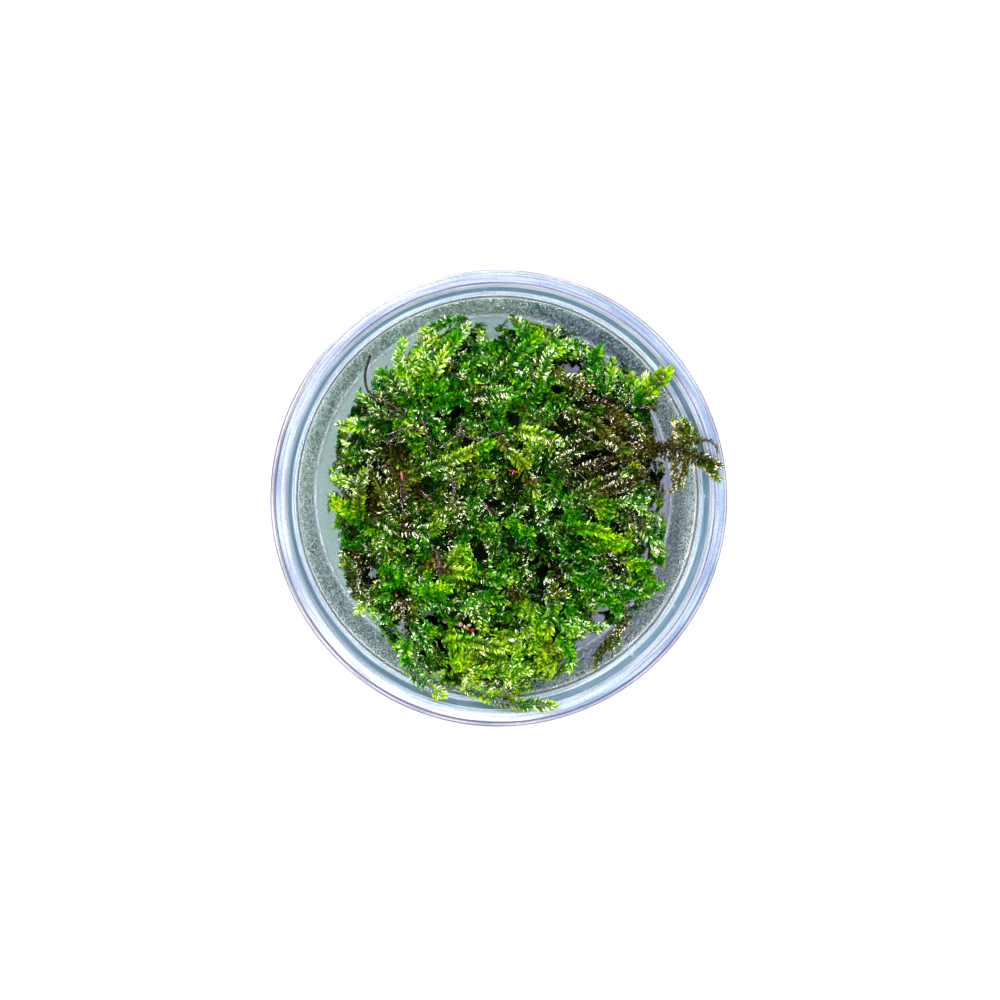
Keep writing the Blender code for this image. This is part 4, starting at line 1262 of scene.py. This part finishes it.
# Thin root threads across the brown part, laid on the mat
thread = {"radius": 0.09, "lift": 1.8, "dark": (0.05, 0.03, 0.02), "light": (0.26, 0.19, 0.16)}
threadRoutes = [
    [(25.5, 1.5), (28, 2), (31.5, 4), (33.5, 6.5), (35, 8.5)], [(27, 6.5), (29, 6.6), (31, 7)],
    [(21, 1), (24, 1.4), (27, 1.2), (30.5, 3)], [(18, 14), (22, 12), (25.5, 10), (28.5, 11)],
    [(30, 12.5), (27.5, 9.5), (24, 8.5), (21, 6.5)], [(14.5, 6.5), (17.5, 5.5), (20, 3)],
]


def growThreads():
    f = Finish("rootThread", {"Coat Weight": 0.7, "Coat Roughness": 0.1})
    tone = f.noise(1.5)
    colour = f.ramp(tone, [(0.35, thread["dark"]), (0.65, thread["light"])])
    f.use(colour=colour, roughness=0.35 + tone * 0.2)
    roots = [(rowsOf(layOnMat(plan, thread["lift"])), thread["radius"]) for plan in threadRoutes]
    threads = stemObject("rootThreads", roots, f.material)
    threads.data.materials.pop(index=0)
    finishPiece(threads, "bare_stem")


growThreads()


# Small coloured bits in the moss: plan x, y, how far under the mat's skin, length, width, turn and colour
bitShape = {"flat": 0.35, "beside": 22}
bits = [
    (-11.8, -27.3, 3.2, 1.5, 1, -30, (0.62, 0.44, 0.3)),
    (-9.6, -27.6, 3, 2, 1.3, -20, (0.62, 0.13, 0.03)), (-8.5, -27.9, 2.8, 1.3, 1.2, 0, (0.8, 0.74, 0.6)),
    (-7.2, -28.7, 2.8, 1.7, 0.9, -30, (0.66, 0.2, 0.05)),
    (-6.5, -28.1, 2.9, 1.1, 0.8, 0, (0.8, 0.66, 0.58)),
    (-5.8, -29.2, 2.8, 1.2, 0.9, 10, (0.55, 0.07, 0.02)),
    (2.8, -31.1, -0.6, 1.9, 0.9, 5, (0.85, 0.82, 0.74)),
    (35, -19.1, -0.4, 1.3, 0.7, -10, (0.6, 0.09, 0.04)),
    (37, -13.6, -0.2, 0.7, 1.2, 20, (0.62, 0.28, 0.04)),
    (-33.4, -19.4, -0.9, 1, 2.6, 20, (0.5, 0.29, 0.03)),
    (-32.2, -21.8, -0.7, 0.9, 2, 35, (0.52, 0.3, 0.05)),
    (-22.6, -21.5, -0.3, 0.6, 0.9, 10, (0.34, 0.11, 0.02)),
    (-21.4, 5.2, -2.6, 0.6, 1.9, 4, (0.44, 0.1, 0.06)),
    (3.2, 6, -2.3, 2.8, 0.4, -12, (0.34, 0.035, 0.01)), (-25, 7.2, -1.6, 0.8, 0.5, 0, (0.3, 0.07, 0.03)),
    (-17, -2.4, -1.4, 0.45, 0.7, 30, (0.34, 0.02, 0.012)),
]


def growBits():
    work = bmesh.new()
    shades = []
    for x, y, sink, length, width, turn, colour in bits:
        height = (dropOn(guide, x, y) or bitShape["beside"]) - sink
        place = Matrix.Translation(Vector((x, y, height)) * mm) @ Matrix.Rotation(math.radians(turn), 4, "Z")
        thick = min(length, width) * bitShape["flat"]
        size = Matrix.Diagonal((length / 2 * mm, width / 2 * mm, thick * mm, 1))
        made = bmesh.ops.create_icosphere(work, subdivisions=2, radius=1, matrix=place @ size)
        shades += [colour] * len(made["verts"])
    mesh = meshOf("bits", work)
    layer = mesh.color_attributes.new("bitColour", "FLOAT_COLOR", "POINT")
    layer.data.foreach_set("color", np.array([(*shade, 1) for shade in shades], np.float32).ravel())
    f = Finish("bit", {"Coat Weight": 0.35, "Coat Roughness": 0.15, "Specular IOR Level": 0.2})
    tone = f.noise(0.6, 3)
    colour = f.node("Attribute", {"attribute_name": "bitColour"}, {}, "Color")
    colour = f.times(colour, f.mix(f.step(tone, 0.35, 0.65), (0.4, 0.35, 0.35), (1.2, 1.2, 1.2)))
    f.use(colour=colour, roughness=0.35 + tone * 0.3, normal=f.bump(tone, 0.15, 0.8))
    finishPiece(smooth(newObject("colouredBits", mesh, f.material)), "moss_mat", "moss_mat")


growBits()


# Floor, light and camera
stage = {
    "floorSize": 1500, "floor": (0.62, 0.62, 0.63), "sky": (0.93, 0.96, 1), "skyLight": 0.1, "skySeen": 0.85,
}


def buildFloor():
    work = bmesh.new()
    bmesh.ops.create_grid(work, x_segments=1, y_segments=1, size=stage["floorSize"] / 2 * mm)
    f = Finish("paleFloor", {"Roughness": 0.6})
    tone = f.noise(400, 2)
    f.use(colour=f.mix(tone, stage["floor"], tuple(c * 1.04 for c in stage["floor"])))
    floor = newObject("floor", meshOf("floor", work), f.material)


# The sky is bright where it is seen, also through the cup, and weak as a light
def buildSky():
    world = bpy.data.worlds.new("studio")
    bpy.context.scene.world = world
    world.use_nodes = True
    nodes, links = world.node_tree.nodes, world.node_tree.links
    background = nodes["Background"]
    background.inputs[0].default_value = (*stage["sky"], 1)
    path = nodes.new("ShaderNodeLightPath")
    seen = nodes.new("ShaderNodeMath")
    seen.operation = "MAXIMUM"
    links.new(path.outputs["Is Camera Ray"], seen.inputs[0])
    links.new(path.outputs["Is Transmission Ray"], seen.inputs[1])
    strength = nodes.new("ShaderNodeMapRange")
    strength.inputs["To Min"].default_value = stage["skyLight"]
    strength.inputs["To Max"].default_value = stage["skySeen"]
    links.new(seen.outputs[0], strength.inputs["Value"])
    links.new(strength.outputs[0], background.inputs[1])


lampAim = (0, 0, 25)


def addLight(name, place, size, brightness, colour):
    data = bpy.data.lights.new(name, "AREA")
    data.size = size * mm
    data.energy = brightness * math.pi * (size * mm) ** 2
    data.color = colour
    obj = newObject(name, data)
    obj.location = Vector(place) * mm
    obj.rotation_euler = (Vector(lampAim) - Vector(place)).to_track_quat("-Z", "Y").to_euler()


# Soft windows: place, size, brightness and colour; and two rings of small lamps for the sharp highlights
windows = {
    "windowTop": ((-330, 420, 620), 280, 12.5, (1, 1, 1)),
    "windowLeft": ((-420, -60, 600), 230, 11, (1, 0.99, 0.96)),
    "windowRight": ((380, 240, 600), 230, 11, (0.95, 0.97, 1)),
    "windowFront": ((90, -400, 600), 230, 11, (1, 1, 1)),
}
lamps = {
    "count": 7, "rings": (310, 190), "height": 690, "size": 100, "brightness": 22, "colour": (0.99, 0.995, 1),
}


def buildLights():
    for name, window in windows.items():
        addLight(name, *window)
    for index in range(lamps["count"]):
        turn = index * math.tau / lamps["count"] + 0.5
        ring = lamps["rings"][index % 2]
        place = (ring * math.cos(turn), ring * math.sin(turn), lamps["height"])
        addLight(f"lamp{index + 1}", place, lamps["size"], lamps["brightness"], lamps["colour"])


camera = {"place": (-20, 18, 645), "aim": (0.04, -0.2, 45), "fieldWidth": 218}


def buildCamera():
    data = bpy.data.cameras.new("view")
    obj = newObject("view", data)
    place, aim = Vector(camera["place"]), Vector(camera["aim"])
    ahead = (aim - place).normalized()
    right = ahead.cross(Vector((0, 1, 0))).normalized()
    top = right.cross(ahead)
    turn = Matrix((right, top, -ahead)).transposed().to_4x4()
    obj.matrix_world = Matrix.Translation(place * mm) @ turn
    data.sensor_width = 36
    data.lens = data.sensor_width * (aim - place).length / camera["fieldWidth"]
    data.clip_start = 0.01
    data.clip_end = 20
    bpy.context.scene.camera = obj


buildFloor()
buildSky()
buildLights()
buildCamera()
bpy.context.scene.view_settings.view_transform = "Standard"
print("stage: floor, light and camera set")
